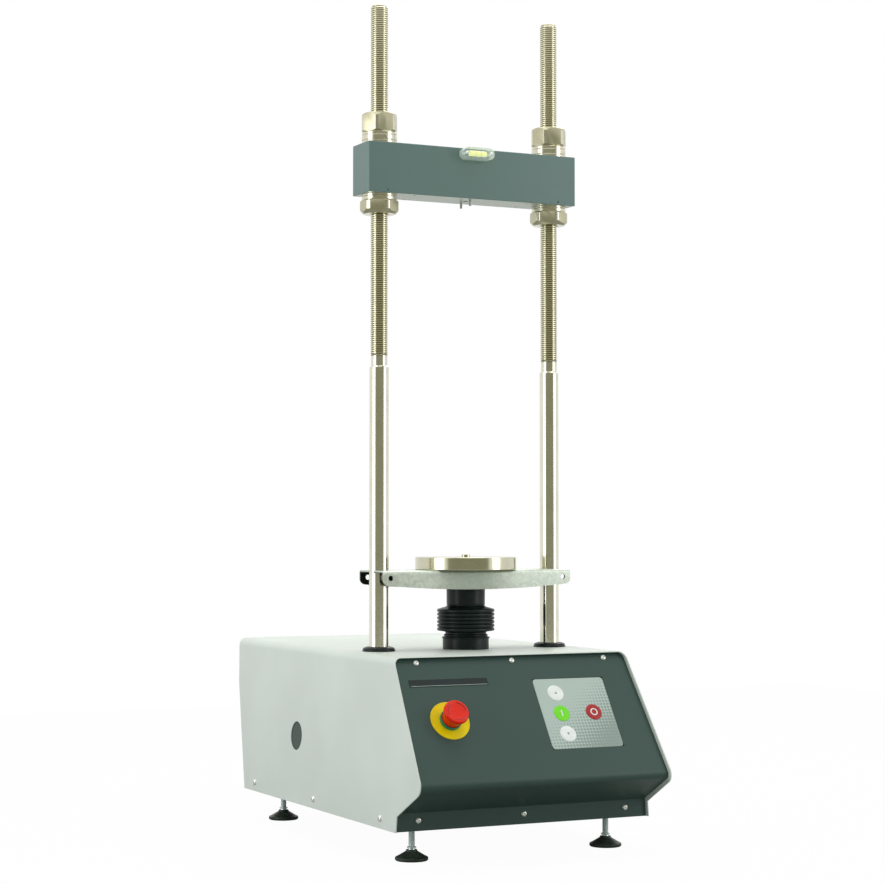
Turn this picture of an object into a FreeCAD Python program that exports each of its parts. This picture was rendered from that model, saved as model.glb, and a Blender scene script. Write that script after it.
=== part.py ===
"""Marshall compression tester: a bench press for asphalt test cylinders.

Millimetres, +Z up, the front with the control panel faces -Y. Z is 0 on the floor under the feet.
The two columns stand in the plane COLUMN_Y, which puts the origin under the middle of the machine.
"""
import FreeCAD, Part
import math
import os

Vec = FreeCAD.Vector

# Feet
FOOT_HEIGHT = 51.0
FOOT_PAD_RADIUS = 26.0
FOOT_BASE_HEIGHT = 6.0
FOOT_CONE_TOP_RADIUS = 8.0
FOOT_CONE_TOP = 17.0
FOOT_FLANGE_RADIUS = 7.2
FOOT_FLANGE_TOP = 20.5
STUD_RADIUS = 5.0
STUD_ABOVE_TRAY = 24.0
FOOT_IN = 51.5
FOOT_FRONT = 158.5
FOOT_REAR = 374.0
INSERT_WIDTH = 17.0
INSERT_HEIGHT = 12.0
THREAD_FIT = 0.05

# Case: a folded cover over a tray, closed in front and behind by folded panels
CASE_HEIGHT = 264.0
CASE_BOTTOM_WIDTH = 450.0
CASE_TOP_WIDTH = 416.0
FOOT_X = CASE_BOTTOM_WIDTH / 2 - FOOT_IN
COVER_WALL = 2.0
COVER_BEND = 14.0
LIP_FRONT = 210.0
LIP_HEIGHT = 24.5
NOSE_FRONT = 294.0
NOSE_HEIGHT = 70.0
NOSE_RADIUS = 16.0
TOP_FRONT = 163.0
REAR_BOTTOM = 434.0
KNEE_REAR = 494.0
KNEE_HEIGHT = 185.0
REAR_TOP = 506.0
PANEL_WALL = 2.0
PANEL_RECESS = 6.5
PANEL_TOP_GAP = 1.0
SHEET_FIT = 0.3
TRAY_WALL = 2.5
TRAY_FLANGE = 25.0
RAIL_WIDTH = 18.0
RAIL_END = 17.0
RAIL_WALL = 2.0

# Screws: (head radius, head height, shank radius)
M5 = (4.75, 2.8, 2.5)
M6 = (5.25, 3.3, 3.0)
M3 = (2.8, 1.7, 1.5)
SHANK_LENGTH = 10.0
SCREW_FIT = 0.2
SIDE_SCREW_Z = 15.3
SIDE_SCREW_FRONT = 152.0
SIDE_SCREW_PITCH = 268.0
LIP_SCREW_IN = 41.5
LIP_SCREW_X = CASE_BOTTOM_WIDTH / 2 - LIP_SCREW_IN
LIP_SCREW_Z = 16.0
TOP_SCREW_IN = 40.0
TOP_SCREW_X = CASE_TOP_WIDTH / 2 - TOP_SCREW_IN
RAIL_LENGTH = 2 * (TOP_SCREW_X + RAIL_END)
TOP_SCREW_DOWN = 8.0
REAR_SCREW_X = TOP_SCREW_X
REAR_SCREW_Z = 16.0
REAR_TOP_SCREW_DOWN = 8.5
SIDE_HOLE_RADIUS = 24.0
SIDE_HOLE_BACK = 207.0
SIDE_HOLE_Z = 112.0
PLUG_RIM = 2.5
PLUG_DEPTH = 9.0

# Load frame
COLUMN_X = 158.0
COLUMN_RADIUS = 16.0
COLUMN_SHOULDER = 726.0
THREAD_RADIUS = 15.0
UNDERCUT_RADIUS = 13.5
UNDERCUT_LENGTH = 17.0
COLUMN_TOP = 1321.0
COLUMN_TOP_CHAMFER = 3.0
SPIGOT_RADIUS = 12.0
SPIGOT_LENGTH = 60.0
PLATE_END = 37.0
PLATE_LENGTH = 2 * (COLUMN_X + PLATE_END)
PLATE_DEPTH = 120.0
PLATE_THICKNESS = 32.0
PLATE_UNDER_CASE_TOP = 53.0
PLATE_TOP = CASE_HEIGHT - PLATE_UNDER_CASE_TOP
BASE_NUT_WIDTH = 36.0
BASE_NUT_HEIGHT = 22.0
UPRIGHT_WIDTH = 10.0
UPRIGHT_X = COLUMN_X + PLATE_END - UPRIGHT_WIDTH
SEAL_RADIUS = 27.0
SEAL_HEIGHT = 7.5

# Crossbeam and its nuts
BEAM_END = 33.0
BEAM_LENGTH = 2 * (COLUMN_X + BEAM_END)
BEAM_DEPTH = 66.0
BEAM_HEIGHT = 83.0
BEAM_BOTTOM = 1009.0
BEAM_EDGE = 0.8
BEAM_BORE_FIT = 0.4
NUT_FIT = 0.08
UPPER_NUT_RADIUS = 30.3
UPPER_NUT_FLATS = 55.0
UPPER_COLLAR_HEIGHT = 19.5
UPPER_NUT_HEIGHT = 51.0
LOWER_NUT_RADIUS = 31.8
LOWER_NUT_FLATS = 58.5
NUT_COLLAR_RADIUS = 29.0
NUT_GROOVE = 1.0
LOWER_RING_HEIGHT = 3.6
LOWER_COLLAR_HEIGHT = 9.8
LOWER_HEX_HEIGHT = 17.0
LOWER_NUT_HEIGHT = 32.0
LOWER_NOSE_RADIUS = 26.0
UPPER_NUT_TURNS = (-2.0, -8.0)
LOWER_NUT_TURNS = (30.0, 27.0)
PROBE_HOLE_RADIUS = 4.25
PROBE_HOLE_DEPTH = 30.0
PIN_RADIUS = 2.0
PIN_SPACING = 34.0
PIN_LENGTH = 10.0
PIN_SEAT = 12.0
SMALL_HOLE_RADIUS = 2.1
SMALL_HOLE_X = 104.5
SMALL_HOLE_Y = 20.0
SMALL_HOLE_DEPTH = 14.0
SET_SCREW_RADIUS = 1.6
SET_SCREW_Z = 4.5
SET_SCREW_LENGTH = 8.0
VIAL_BLOCK_LENGTH = 56.0
VIAL_BLOCK_DEPTH = 19.0
VIAL_BLOCK_HEIGHT = 19.0
VIAL_RADIUS = 4.6
VIAL_LENGTH = 30.0
VIAL_IN = 7.0
VIAL_FIT = 0.1
VIAL_SCREW_X = 22.5

# Ram with its platen, guide bracket and bellows
RAM_TRAVEL = 100.0
RAM_RADIUS = 18.0
RAM_BOTTOM = 20.0
RAM_HEAD_RADIUS = 27.0
PLATEN_RADIUS = 84.0
PLATEN_THICKNESS = 21.0
PLATEN_ABOVE_CASE = 152.0
PLATEN_TOP = CASE_HEIGHT + PLATEN_ABOVE_CASE
PLATEN_EDGE = 1.5
BOSS_RADIUS = 7.0
BOSS_HEIGHT = 4.5
BRACKET_END = 14.0
BRACKET_LENGTH = 2 * (COLUMN_X + BRACKET_END)
BRACKET_DEPTH = 94.0
BRACKET_WALL = 4.0
BRACKET_MID_DROP = 31.5
BRACKET_END_DROP = 22.0
BRACKET_CORNER = 9.0
BRACKET_HOLE_RADIUS = 4.4
BRACKET_NOTCH_FIT = 0.6
TOP_COLLAR_RADIUS = 32.0
TOP_COLLAR_ABOVE_CASE = 72.0
TOP_COLLAR_HEIGHT = 27.5
TOP_COLLAR_BOTTOM = CASE_HEIGHT + TOP_COLLAR_ABOVE_CASE
TOP_COLLAR_TOP = TOP_COLLAR_BOTTOM + TOP_COLLAR_HEIGHT
FOLD_RADIUS = 47.6
FOLD_ROOT = 41.0
FOLD_COUNT = 6
FOLD_PITCH = 6.14
FIRST_FOLD_ABOVE_CASE = 32.7
FIRST_FOLD = CASE_HEIGHT + FIRST_FOLD_ABOVE_CASE
FOLD_WALL = 2.0
NECK_RADIUS = 34.0
NECK_ABOVE_CASE = 27.0
NECK_TOP = CASE_HEIGHT + NECK_ABOVE_CASE
RIDGE_RADIUS = 36.5
LIP_RADIUS = 39.8
LOWER_COLLAR_RADIUS = 38.3
BASE_COLLAR_HEIGHT = 19.0
LOWER_COLLAR_TOP = CASE_HEIGHT + BASE_COLLAR_HEIGHT
BELLOWS_GAP = 0.3

# Drive under the load plate
NUT_BARREL_RADIUS = 22.0
NUT_SHOULDER_RADIUS = 30.0
DRIVE_NUT_UNDER_PLATE = 13.0
DRIVE_NUT_TOP = PLATE_TOP - PLATE_THICKNESS - DRIVE_NUT_UNDER_PLATE
DRIVE_NUT_BOTTOM = 37.0
HOUSING_RADIUS = 52.0
HOUSING_BORE = 36.0
HOUSING_BOTTOM = 69.0
HOUSING_FLANGE = 66.0
HOUSING_FLANGE_THICKNESS = 12.0
BEARING_HEIGHT = 16.0
SCREW_RUNNING_FIT = 0.1
BEARING_FIT = 0.03
PULLEY_BOTTOM = 37.0
PULLEY_HEIGHT = 30.0
PULLEY_FLANGE = 2.0
PULLEY_FLANGE_STEP = 4.0
NUT_PULLEY_RADIUS = 60.0
MOTOR_PULLEY_RADIUS = 24.0
BELT_WALL = 3.6
BELT_FIT = 0.3
BELT_SIDE_GAP = 2.0
MOTOR_Y = 170.0
MOTOR_SHAFT_RADIUS = 8.0
MOTOR_SHELF_Z = 101.0
MOTOR_SHELF_WALL = 4.0
MOTOR_SHELF_HALF = 78.0
MOTOR_SHELF_FOOT = 18.0
MOTOR_SHELF_REACH = 60.0
MOTOR_SHAFT_IN = 30.0
GEARBOX_WIDTH = 90.0
GEARBOX_HEIGHT = 66.0
MOTOR_RADIUS = 42.0
MOTOR_TOP_GAP = 13.0
MOTOR_HEIGHT = CASE_HEIGHT - MOTOR_SHELF_Z - MOTOR_SHELF_WALL - GEARBOX_HEIGHT - MOTOR_TOP_GAP

# Emergency stop, in the plane of the sloping panel
STOP_IN = 87.3
STOP_X = STOP_IN - CASE_BOTTOM_WIDTH / 2
STOP_DOWN = 112.0
STOP_DISC_RADIUS = 32.5
STOP_DISC_WALL = 1.5
STOP_HOLE = 11.2
STOP_BARREL = 10.9
STOP_COLLAR_RADIUS = 17.5
STOP_COLLAR_FLOOR = 2.0
STOP_COLLAR_TOP = 7.0
STOP_COLLAR_WALL = 1.4
STOP_STEM_RADIUS = 6.0
STOP_STEM_TOP = 18.0
STOP_STEM_FIT = 0.1
STOP_SKIRT_RADIUS = 15.5
STOP_WAIST_RADIUS = 16.5
STOP_HEAD_RADIUS = 20.5
STOP_HEAD_TOP = 30.5
STOP_TRAVEL = 4.0
STOP_NUT_RADIUS = 14.5
STOP_NUT_HEIGHT = 4.0
STOP_BODY_DEPTH = 24.0

# Keypad
KEYPAD_X = 90.0
KEYPAD_DOWN = 106.6
KEYPAD_WIDTH = 128.5
KEYPAD_HEIGHT = 126.5
KEYPAD_CORNER = 5.0
KEY_RADIUS = 14.0
KEY_GAP = 0.3
KEY_TRAVEL = 0.5
KEY_COLUMN = 29.0
KEY_ROW = 36.7
BACK_BOARD_MARGIN = 6.0
PLATE_X = -121.3
PLATE_DOWN = 44.4
PLATE_WIDTH = 135.5
PLATE_HIGH = 12.0
PLATE_WALL = 1.0

# Rear panel items, in the plane of its lower part
INLET_X = 130.0
INLET_UP = 62.0
INLET_WIDTH = 48.0
INLET_BODY_WIDTH = 33.0
INLET_LOW = -16.0
INLET_HIGH = 45.0
INLET_LIP = 2.5
INLET_OPEN_WIDTH = 24.5
INLET_OPEN_HEIGHT = 17.0
INLET_DEPTH = 24.0
INLET_FIT = 0.5
ROCKER_UP = 27.0
ROCKER_WIDTH = 13.4
ROCKER_HALF = 11.5
ROCKER_GAP = 1.2
ROCKER_SIDE_GAP = 0.3
ROCKER_TILT = 8.0
ROCKER_PIVOT = -3.0
ROCKER_WELL = 13.0

# Electronics on the tray
DRIVE_WALL_GAP = 17.1
DRIVE_FRONT = 70.0
DRIVE_SIZE = (70.0, 150.0, 120.0)
SUPPLY_IN = 20.0
SUPPLY_WIDTH = 100.0
BOARD_IN = 35.0
SUPPLY_BOX = (CASE_BOTTOM_WIDTH / 2 - SUPPLY_IN - SUPPLY_WIDTH, 190.0, SUPPLY_WIDTH, 150.0, 50.0)
BOARD_BOX = (BOARD_IN - CASE_BOTTOM_WIDTH / 2, 235.0, 160.0, 115.0, 1.6)
CHIP = (40.0, 30.0, 30.0, 30.0, 4.0)
COIL = (95.0, 20.0, 20.0, 40.0, 16.0)
TERMINALS = (30.0, 90.0, 90.0, 12.0, 10.0)
STANDOFF_HEIGHT = 12.0
STANDOFF_RADIUS = 3.5
STANDOFF_INSET = 8.0


def rounded(points, radii):
    """Edges of a polyline in 3-D whose inner corners are rounded by tangent arcs."""
    edges, start = [], points[0]
    for i in range(1, len(points) - 1):
        corner, radius = points[i], radii[i - 1]
        back = (points[i - 1] - corner).normalize()
        ahead = (points[i + 1] - corner).normalize()
        if radius <= 0:
            edges.append(Part.LineSegment(start, corner).toShape())
            start = corner
            continue
        half = back.getAngle(ahead) / 2
        reach = radius / math.tan(half)
        middle = (back + ahead).normalize() * (radius / math.sin(half))
        centre = corner + middle
        first, last = corner + back * reach, corner + ahead * reach
        crown = centre - middle.normalize() * radius
        edges.append(Part.LineSegment(start, first).toShape())
        edges.append(Part.Arc(first, crown, last).toShape())
        start = last
    edges.append(Part.LineSegment(start, points[-1]).toShape())
    return edges


def moved_sideways(points, normal, distance):
    """The polyline moved to its left by distance, seen along -normal, with mitred corners."""
    out = []
    sides = [normal.cross((b - a).normalize()) for a, b in zip(points, points[1:])]
    for i, point in enumerate(points):
        if i == 0 or i == len(points) - 1:
            out.append(point + sides[min(i, len(sides) - 1)] * distance)
            continue
        mitre = (sides[i - 1] + sides[i]).normalize()
        out.append(point + mitre * (distance / mitre.dot(sides[i])))
    return out


def folded_sheet(points, radii, normal, wall, length):
    """Sheet metal: a polyline with bends, thickened to its left and extruded along normal."""
    far = moved_sideways(points, normal, wall)
    far_radii = []
    for i, radius in enumerate(radii):
        turn = (points[i + 1] - points[i]).cross(points[i + 2] - points[i + 1]).dot(normal)
        far_radii.append(max(radius + (wall if turn < 0 else -wall), 0))
    ends = [Part.LineSegment(points[-1], far[-1]).toShape(), Part.LineSegment(far[0], points[0]).toShape()]
    edges = rounded(points, radii) + [ends[0]] + rounded(far, far_radii) + [ends[1]]
    face = Part.Face(Part.Wire(Part.__sortEdges__(edges)))
    return face.extrude(normal * length)


def box(x, y, z, dx, dy, dz):
    return Part.makeBox(dx, dy, dz, Vec(x, y, z))


def disc(radius, bottom, top, x=0.0, y=0.0):
    return Part.makeCylinder(radius, top - bottom, Vec(x, y, bottom))


def ring(outer, inner, bottom, top, x=0.0, y=0.0):
    return disc(outer, bottom, top, x, y).cut(disc(inner, bottom - 1, top + 1, x, y))


def turned(profile, x=0.0, y=0.0):
    """A solid of revolution about a vertical axis from (radius, height) points."""
    wire = Part.makePolygon([Vec(r, 0, z) for r, z in profile] + [Vec(profile[0][0], 0, profile[0][1])])
    shape = Part.Face(wire).revolve(Vec(), Vec(0, 0, 1), 360)
    shape.translate(Vec(x, y, 0))
    return shape


def hexagon(width, bottom, top, x=0.0, y=0.0):
    reach = width / math.sqrt(3)
    corners = [Vec(x + reach * math.cos(k * math.pi / 3), y + reach * math.sin(k * math.pi / 3), bottom)
               for k in range(7)]
    return Part.Face(Part.makePolygon(corners)).extrude(Vec(0, 0, top - bottom))


def in_frame(shape, origin, x_dir, y_dir):
    """A shape drawn on a panel (local X right, Y up, Z out of the panel), put in its place."""
    z_dir = x_dir.cross(y_dir)
    m = FreeCAD.Matrix(x_dir.x, y_dir.x, z_dir.x, origin.x, x_dir.y, y_dir.y, z_dir.y, origin.y,
                       x_dir.z, y_dir.z, z_dir.z, origin.z, 0, 0, 0, 1)
    placed = shape.copy()
    placed.transformShape(m)
    return placed


def button_screw(size, length=SHANK_LENGTH):
    """A button head screw whose seat is at local Z 0 and whose head points along +Z."""
    head, height, shank = size
    return turned([(0, -length), (shank, -length), (shank, 0), (head, 0),
                   (head * 0.97, height * 0.3), (head * 0.84, height * 0.65),
                   (head * 0.65, height * 0.9), (head * 0.45, height), (0, height)])


def screw_hole(size, length=SHANK_LENGTH + 4):
    return disc(size[2] + SCREW_FIT, -length, 4)


def upright_prism(points, x0, x1):
    """A closed outline in the Y-Z plane, with its edges given, extruded along X."""
    face = Part.Face(Part.Wire(Part.__sortEdges__(points)))
    face.translate(Vec(x0, 0, 0))
    return face.extrude(Vec(x1 - x0, 0, 0))


def yz(y, z):
    return Vec(0, y, z)


# The case outline seen from the side. Until the last step Y is measured from the columns.
CASE_BOTTOM = FOOT_HEIGHT
CASE_TOP = FOOT_HEIGHT + CASE_HEIGHT
lip_low = yz(-LIP_FRONT, CASE_BOTTOM)
lip_high = yz(-LIP_FRONT, CASE_BOTTOM + LIP_HEIGHT)
nose = yz(-NOSE_FRONT, CASE_BOTTOM + NOSE_HEIGHT)
top_front = yz(-TOP_FRONT, CASE_TOP)
top_rear = yz(REAR_TOP, CASE_TOP)
knee = yz(KNEE_REAR, CASE_BOTTOM + KNEE_HEIGHT)
rear_low = yz(REAR_BOTTOM, CASE_BOTTOM)

half_nose = (lip_high - nose).getAngle(top_front - nose) / 2
nose_middle = ((lip_high - nose).normalize() + (top_front - nose).normalize()).normalize()
NOSE_REACH = -(nose + nose_middle * (NOSE_RADIUS / math.sin(half_nose))).y + NOSE_RADIUS
COLUMN_Y = (NOSE_REACH - REAR_TOP) / 2

LEAN = math.atan2((CASE_BOTTOM_WIDTH - CASE_TOP_WIDTH) / 2, CASE_HEIGHT)
slope = (top_front - nose).normalize()
SLOPE_ANGLE = math.atan2(slope.z, slope.y)
REAR_LEAN = math.atan2(KNEE_REAR - REAR_BOTTOM, KNEE_HEIGHT)

X_RIGHT, X_LEFT = Vec(1, 0, 0), Vec(-1, 0, 0)
Y_FRONT, Y_BACK = Vec(0, -1, 0), Vec(0, 1, 0)
Z_UP = Vec(0, 0, 1)
slope_out = X_RIGHT.cross(slope)
SLOPE_ORIGIN = top_front - slope_out * PANEL_RECESS
rear_up = Vec(0, math.sin(REAR_LEAN), math.cos(REAR_LEAN))
rear_out = X_LEFT.cross(rear_up)
REAR_ORIGIN = rear_low - rear_out * PANEL_RECESS
rear_top_up = (top_rear - knee).normalize()
REAR_TOP_ORIGIN = top_rear - X_LEFT.cross(rear_top_up) * PANEL_RECESS


def half_width(z):
    """Half the case's outer width at height z."""
    return CASE_BOTTOM_WIDTH / 2 - math.tan(LEAN) * (z - CASE_BOTTOM)


def on_slope(shape, x, down):
    return in_frame(shape, SLOPE_ORIGIN + Vec(x, 0, 0) - slope * down, X_RIGHT, slope)


def on_lip(shape, x, up):
    return in_frame(shape, Vec(x, -LIP_FRONT + PANEL_RECESS, CASE_BOTTOM + up), X_RIGHT, Z_UP)


def on_rear(shape, x, up):
    return in_frame(shape, REAR_ORIGIN + Vec(x, 0, 0) + rear_up * up, X_LEFT, rear_up)


def on_rear_top(shape, x, down):
    return in_frame(shape, REAR_TOP_ORIGIN + Vec(x, 0, 0) - rear_top_up * down, X_LEFT, rear_top_up)


def on_side(shape, side, back, up):
    """Local Z out of the left (side -1) or right (side 1) wall of the cover."""
    origin = Vec(side * half_width(CASE_BOTTOM + up), back, CASE_BOTTOM + up)
    up_dir = Vec(-side * math.sin(LEAN), 0, math.cos(LEAN))
    return in_frame(shape, origin, Vec(0, side, 0), up_dir)


def section_path(gap, bottom, top=None):
    """Left, top and right of the case section, set in by gap."""
    high = CASE_TOP if top is None else top
    points = [Vec(-half_width(bottom), 0, bottom), Vec(-half_width(high), 0, high),
              Vec(half_width(high), 0, high), Vec(half_width(bottom), 0, bottom)]
    return moved_sideways(points, Y_BACK, gap)


def inside_block():
    """What fits inside the cover with the sheet fit: used to trim the panels."""
    gap = COVER_WALL + SHEET_FIT
    path = section_path(gap, CASE_BOTTOM)
    path = [Vec(path[0].x, 0, CASE_BOTTOM)] + path[1:3] + [Vec(path[3].x, 0, CASE_BOTTOM)]
    bend = COVER_BEND - gap
    edges = rounded(path, [bend, bend]) + [Part.LineSegment(path[3], path[0]).toShape()]
    face = Part.Face(Part.Wire(Part.__sortEdges__(edges)))
    face.translate(Vec(0, -NOSE_FRONT - 20, 0))
    return face.extrude(Vec(0, NOSE_FRONT + REAR_TOP + 40, 0))


def screw_sets():
    """Every case screw as (group, size, placing function)."""
    sets = []
    for x in (-TOP_SCREW_X, 0, TOP_SCREW_X):
        sets.append(("panel_screws", M5, lambda s, x=x: on_slope(s, x, TOP_SCREW_DOWN)))
    for x in (-LIP_SCREW_X, 0, LIP_SCREW_X):
        sets.append(("panel_screws", M5, lambda s, x=x: on_lip(s, x, LIP_SCREW_Z)))
    for x in (-REAR_SCREW_X, 0, REAR_SCREW_X):
        sets.append(("rear_screws", M5, lambda s, x=x: on_rear(s, x, REAR_SCREW_Z)))
        sets.append(("rear_screws", M5, lambda s, x=x: on_rear_top(s, x, REAR_TOP_SCREW_DOWN)))
    for side in (-1, 1):
        for k in range(3):
            back = -SIDE_SCREW_FRONT + k * SIDE_SCREW_PITCH
            sets.append(("side_screws", M6,
                         lambda s, side=side, back=back: on_side(s, side, back, SIDE_SCREW_Z)))
    return sets


def drill(shape, names=None):
    """Cut the clearance holes of the screws whose group is named."""
    for group, size, place in screw_sets():
        if names is None or group in names:
            shape = shape.cut(place(screw_hole(size)))
    return shape


def cover():
    path = section_path(0, CASE_BOTTOM)
    sheet = folded_sheet(path, [COVER_BEND, COVER_BEND], Y_BACK, COVER_WALL, NOSE_FRONT + REAR_TOP + 40)
    sheet.translate(Vec(0, -NOSE_FRONT - 20, 0))
    outline = rounded([lip_low, lip_high, nose, top_front, top_rear, knee, rear_low, lip_low],
                      [0, NOSE_RADIUS, 0, 0, 0, 0])
    shape = sheet.common(upright_prism(outline, -CASE_BOTTOM_WIDTH, CASE_BOTTOM_WIDTH))
    for x in (-COLUMN_X, COLUMN_X):
        shape = shape.cut(disc(COLUMN_RADIUS + SHEET_FIT, CASE_TOP - 10, CASE_TOP + 10, x))
    shape = shape.cut(disc(NECK_RADIUS - FOLD_WALL, CASE_TOP - 10, CASE_TOP + 10))
    shape = shape.cut(on_side(disc(SIDE_HOLE_RADIUS, -8, 8), -1, SIDE_HOLE_BACK, SIDE_HOLE_Z))
    return drill(shape, ("side_screws",))


def side_hole_plug():
    wall = SIDE_HOLE_RADIUS - SHEET_FIT
    cup = turned([(0, -PLUG_DEPTH), (wall, -PLUG_DEPTH), (wall, 0), (wall - 2 * PLUG_RIM, 0),
                  (wall - PLUG_RIM * 2.4, -PLUG_DEPTH + 2), (0, -PLUG_DEPTH + 2)])
    under_cover = -COVER_WALL - SHEET_FIT
    inner_rim = ring(SIDE_HOLE_RADIUS + PLUG_RIM, wall - 1, under_cover - 2, under_cover)
    return on_side(cup.fuse(inner_rim), -1, SIDE_HOLE_BACK, SIDE_HOLE_Z)


def front_panel():
    """One folded sheet: lip, flange under the nose, rounded nose and sloping face."""
    outer = moved_sideways([lip_low, lip_high, nose, top_front + slope * 30], X_LEFT, PANEL_RECESS)
    outer[0] = yz(outer[0].y, CASE_BOTTOM)
    sheet = folded_sheet(outer, [2.5, NOSE_RADIUS - PANEL_RECESS], X_LEFT, PANEL_WALL, CASE_BOTTOM_WIDTH)
    sheet.translate(Vec(CASE_BOTTOM_WIDTH / 2, 0, 0))
    high = CASE_TOP - COVER_WALL - PANEL_TOP_GAP
    above = box(-CASE_BOTTOM_WIDTH, -NOSE_FRONT, high, 2 * CASE_BOTTOM_WIDTH, 2 * NOSE_FRONT, CASE_HEIGHT)
    sheet = sheet.cut(above)
    sheet = sheet.common(inside_block())
    sheet = sheet.cut(on_slope(disc(STOP_HOLE, -6, 6), STOP_X, STOP_DOWN))
    window = box(-KEYPAD_WIDTH / 2, -KEYPAD_HEIGHT / 2, -6, KEYPAD_WIDTH, KEYPAD_HEIGHT, 12)
    sheet = sheet.cut(on_slope(window, KEYPAD_X, KEYPAD_DOWN))
    return drill(sheet, ("panel_screws",))


def rear_panel():
    outer = moved_sideways([rear_low, knee, top_rear + rear_top_up * 30], X_RIGHT, PANEL_RECESS)
    outer[0] = yz(outer[0].y - (outer[0].z - CASE_BOTTOM) * math.tan(REAR_LEAN), CASE_BOTTOM)
    sheet = folded_sheet(outer, [3.0], X_RIGHT, PANEL_WALL, CASE_BOTTOM_WIDTH)
    sheet.translate(Vec(-CASE_BOTTOM_WIDTH / 2, 0, 0))
    high = CASE_TOP - COVER_WALL - PANEL_TOP_GAP
    sheet = sheet.cut(box(-CASE_BOTTOM_WIDTH, 0, high, 2 * CASE_BOTTOM_WIDTH, 2 * REAR_TOP, CASE_HEIGHT))
    sheet = sheet.common(inside_block())
    wide = INLET_BODY_WIDTH + INLET_FIT
    low, high = INLET_LOW + INLET_LIP - INLET_FIT, INLET_HIGH - INLET_LIP + INLET_FIT
    sheet = sheet.cut(on_rear(box(-wide / 2, low, -6, wide, high - low, 12), INLET_X, INLET_UP))
    return drill(sheet, ("rear_screws",))


def panel_rail(place, start, group):
    """An angle welded under the cover top, that the top edge of a panel is screwed to."""
    half, under = RAIL_LENGTH / 2, CASE_TOP - COVER_WALL
    web = place(box(-half, -RAIL_WIDTH, -PANEL_WALL - RAIL_WALL, RAIL_LENGTH, 2 * RAIL_WIDTH, RAIL_WALL))
    shelf = box(-half, start, under - RAIL_WALL, RAIL_LENGTH, RAIL_WIDTH, RAIL_WALL)
    outside = place(box(-RAIL_LENGTH, -2 * RAIL_WIDTH, -PANEL_WALL,
                        2 * RAIL_LENGTH, 4 * RAIL_WIDTH, 2 * RAIL_WIDTH))
    above = box(-RAIL_LENGTH, start - 2 * RAIL_WIDTH, under, 2 * RAIL_LENGTH, 4 * RAIL_WIDTH, 2 * RAIL_WIDTH)
    return drill(web.fuse(shelf).cut(outside).cut(above).removeSplitter(), (group,))


def panel_rails():
    front = panel_rail(lambda s: on_slope(s, 0, 0), SLOPE_ORIGIN.y, "panel_screws")
    rear = panel_rail(lambda s: on_rear_top(s, 0, 0), REAR_TOP_ORIGIN.y - RAIL_WIDTH, "rear_screws")
    return [front, rear]


def base_tray():
    """Floor of the case with four upturned flanges, welded nuts for the feet and pressed-in standoffs."""
    front = -LIP_FRONT + PANEL_RECESS + PANEL_WALL + SHEET_FIT
    panel_foot = REAR_ORIGIN.y - (REAR_ORIGIN.z - CASE_BOTTOM) * math.tan(REAR_LEAN)
    rear = panel_foot - (PANEL_WALL + SHEET_FIT) / rear_out.y
    low, high = CASE_BOTTOM, CASE_BOTTOM + TRAY_FLANGE
    gap = COVER_WALL + SHEET_FIT
    sides = [Vec(-half_width(high) + gap, front, high), Vec(-half_width(low) + gap, front, low),
             Vec(half_width(low) - gap, front, low), Vec(half_width(high) - gap, front, high)]
    tray = folded_sheet(sides, [3.0, 3.0], Y_FRONT, TRAY_WALL, -(rear - front))
    lean = TRAY_FLANGE * math.tan(REAR_LEAN)
    ends = [yz(front, high), yz(front, low), yz(rear, low), yz(rear + lean, high)]
    span = 2 * (half_width(high) - gap - TRAY_WALL) - 8
    cross = folded_sheet(ends, [3.0, 3.0], X_RIGHT, TRAY_WALL, span)
    cross.translate(Vec(-span / 2, 0, 0))
    tray = tray.fuse([cross] + foot_inserts() + board_standoffs()).removeSplitter()
    for x, y in foot_places():
        tray = tray.cut(disc(STUD_RADIUS + THREAD_FIT, low - 5, low + TRAY_WALL + INSERT_HEIGHT + 5, x, y))
    return drill(tray)


def foot_places():
    return [(sx * FOOT_X, y) for y in (-FOOT_FRONT, FOOT_REAR) for sx in (-1, 1)]


def foot_pad(x, y):
    """Rubber pad with a socket for the ball end of the stud."""
    profile = [(0, 0), (FOOT_PAD_RADIUS - 1.5, 0), (FOOT_PAD_RADIUS, 1.5),
               (FOOT_PAD_RADIUS, FOOT_BASE_HEIGHT - 1), (FOOT_PAD_RADIUS - 1.5, FOOT_BASE_HEIGHT),
               (FOOT_CONE_TOP_RADIUS + 4, FOOT_CONE_TOP - 6), (FOOT_CONE_TOP_RADIUS, FOOT_CONE_TOP),
               (0, FOOT_CONE_TOP)]
    return turned(profile, x, y)


def foot_stud(x, y):
    top = CASE_BOTTOM + TRAY_WALL + STUD_ABOVE_TRAY
    profile = [(0, FOOT_CONE_TOP), (FOOT_FLANGE_RADIUS, FOOT_CONE_TOP), (FOOT_FLANGE_RADIUS, FOOT_FLANGE_TOP),
               (STUD_RADIUS, FOOT_FLANGE_TOP), (STUD_RADIUS, top - 1), (STUD_RADIUS - 1, top), (0, top)]
    return turned(profile, x, y)


def foot_inserts():
    low = CASE_BOTTOM + TRAY_WALL
    return [hexagon(INSERT_WIDTH, low, low + INSERT_HEIGHT, x, y) for x, y in foot_places()]


PLATE_Z = CASE_BOTTOM + PLATE_TOP


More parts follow.
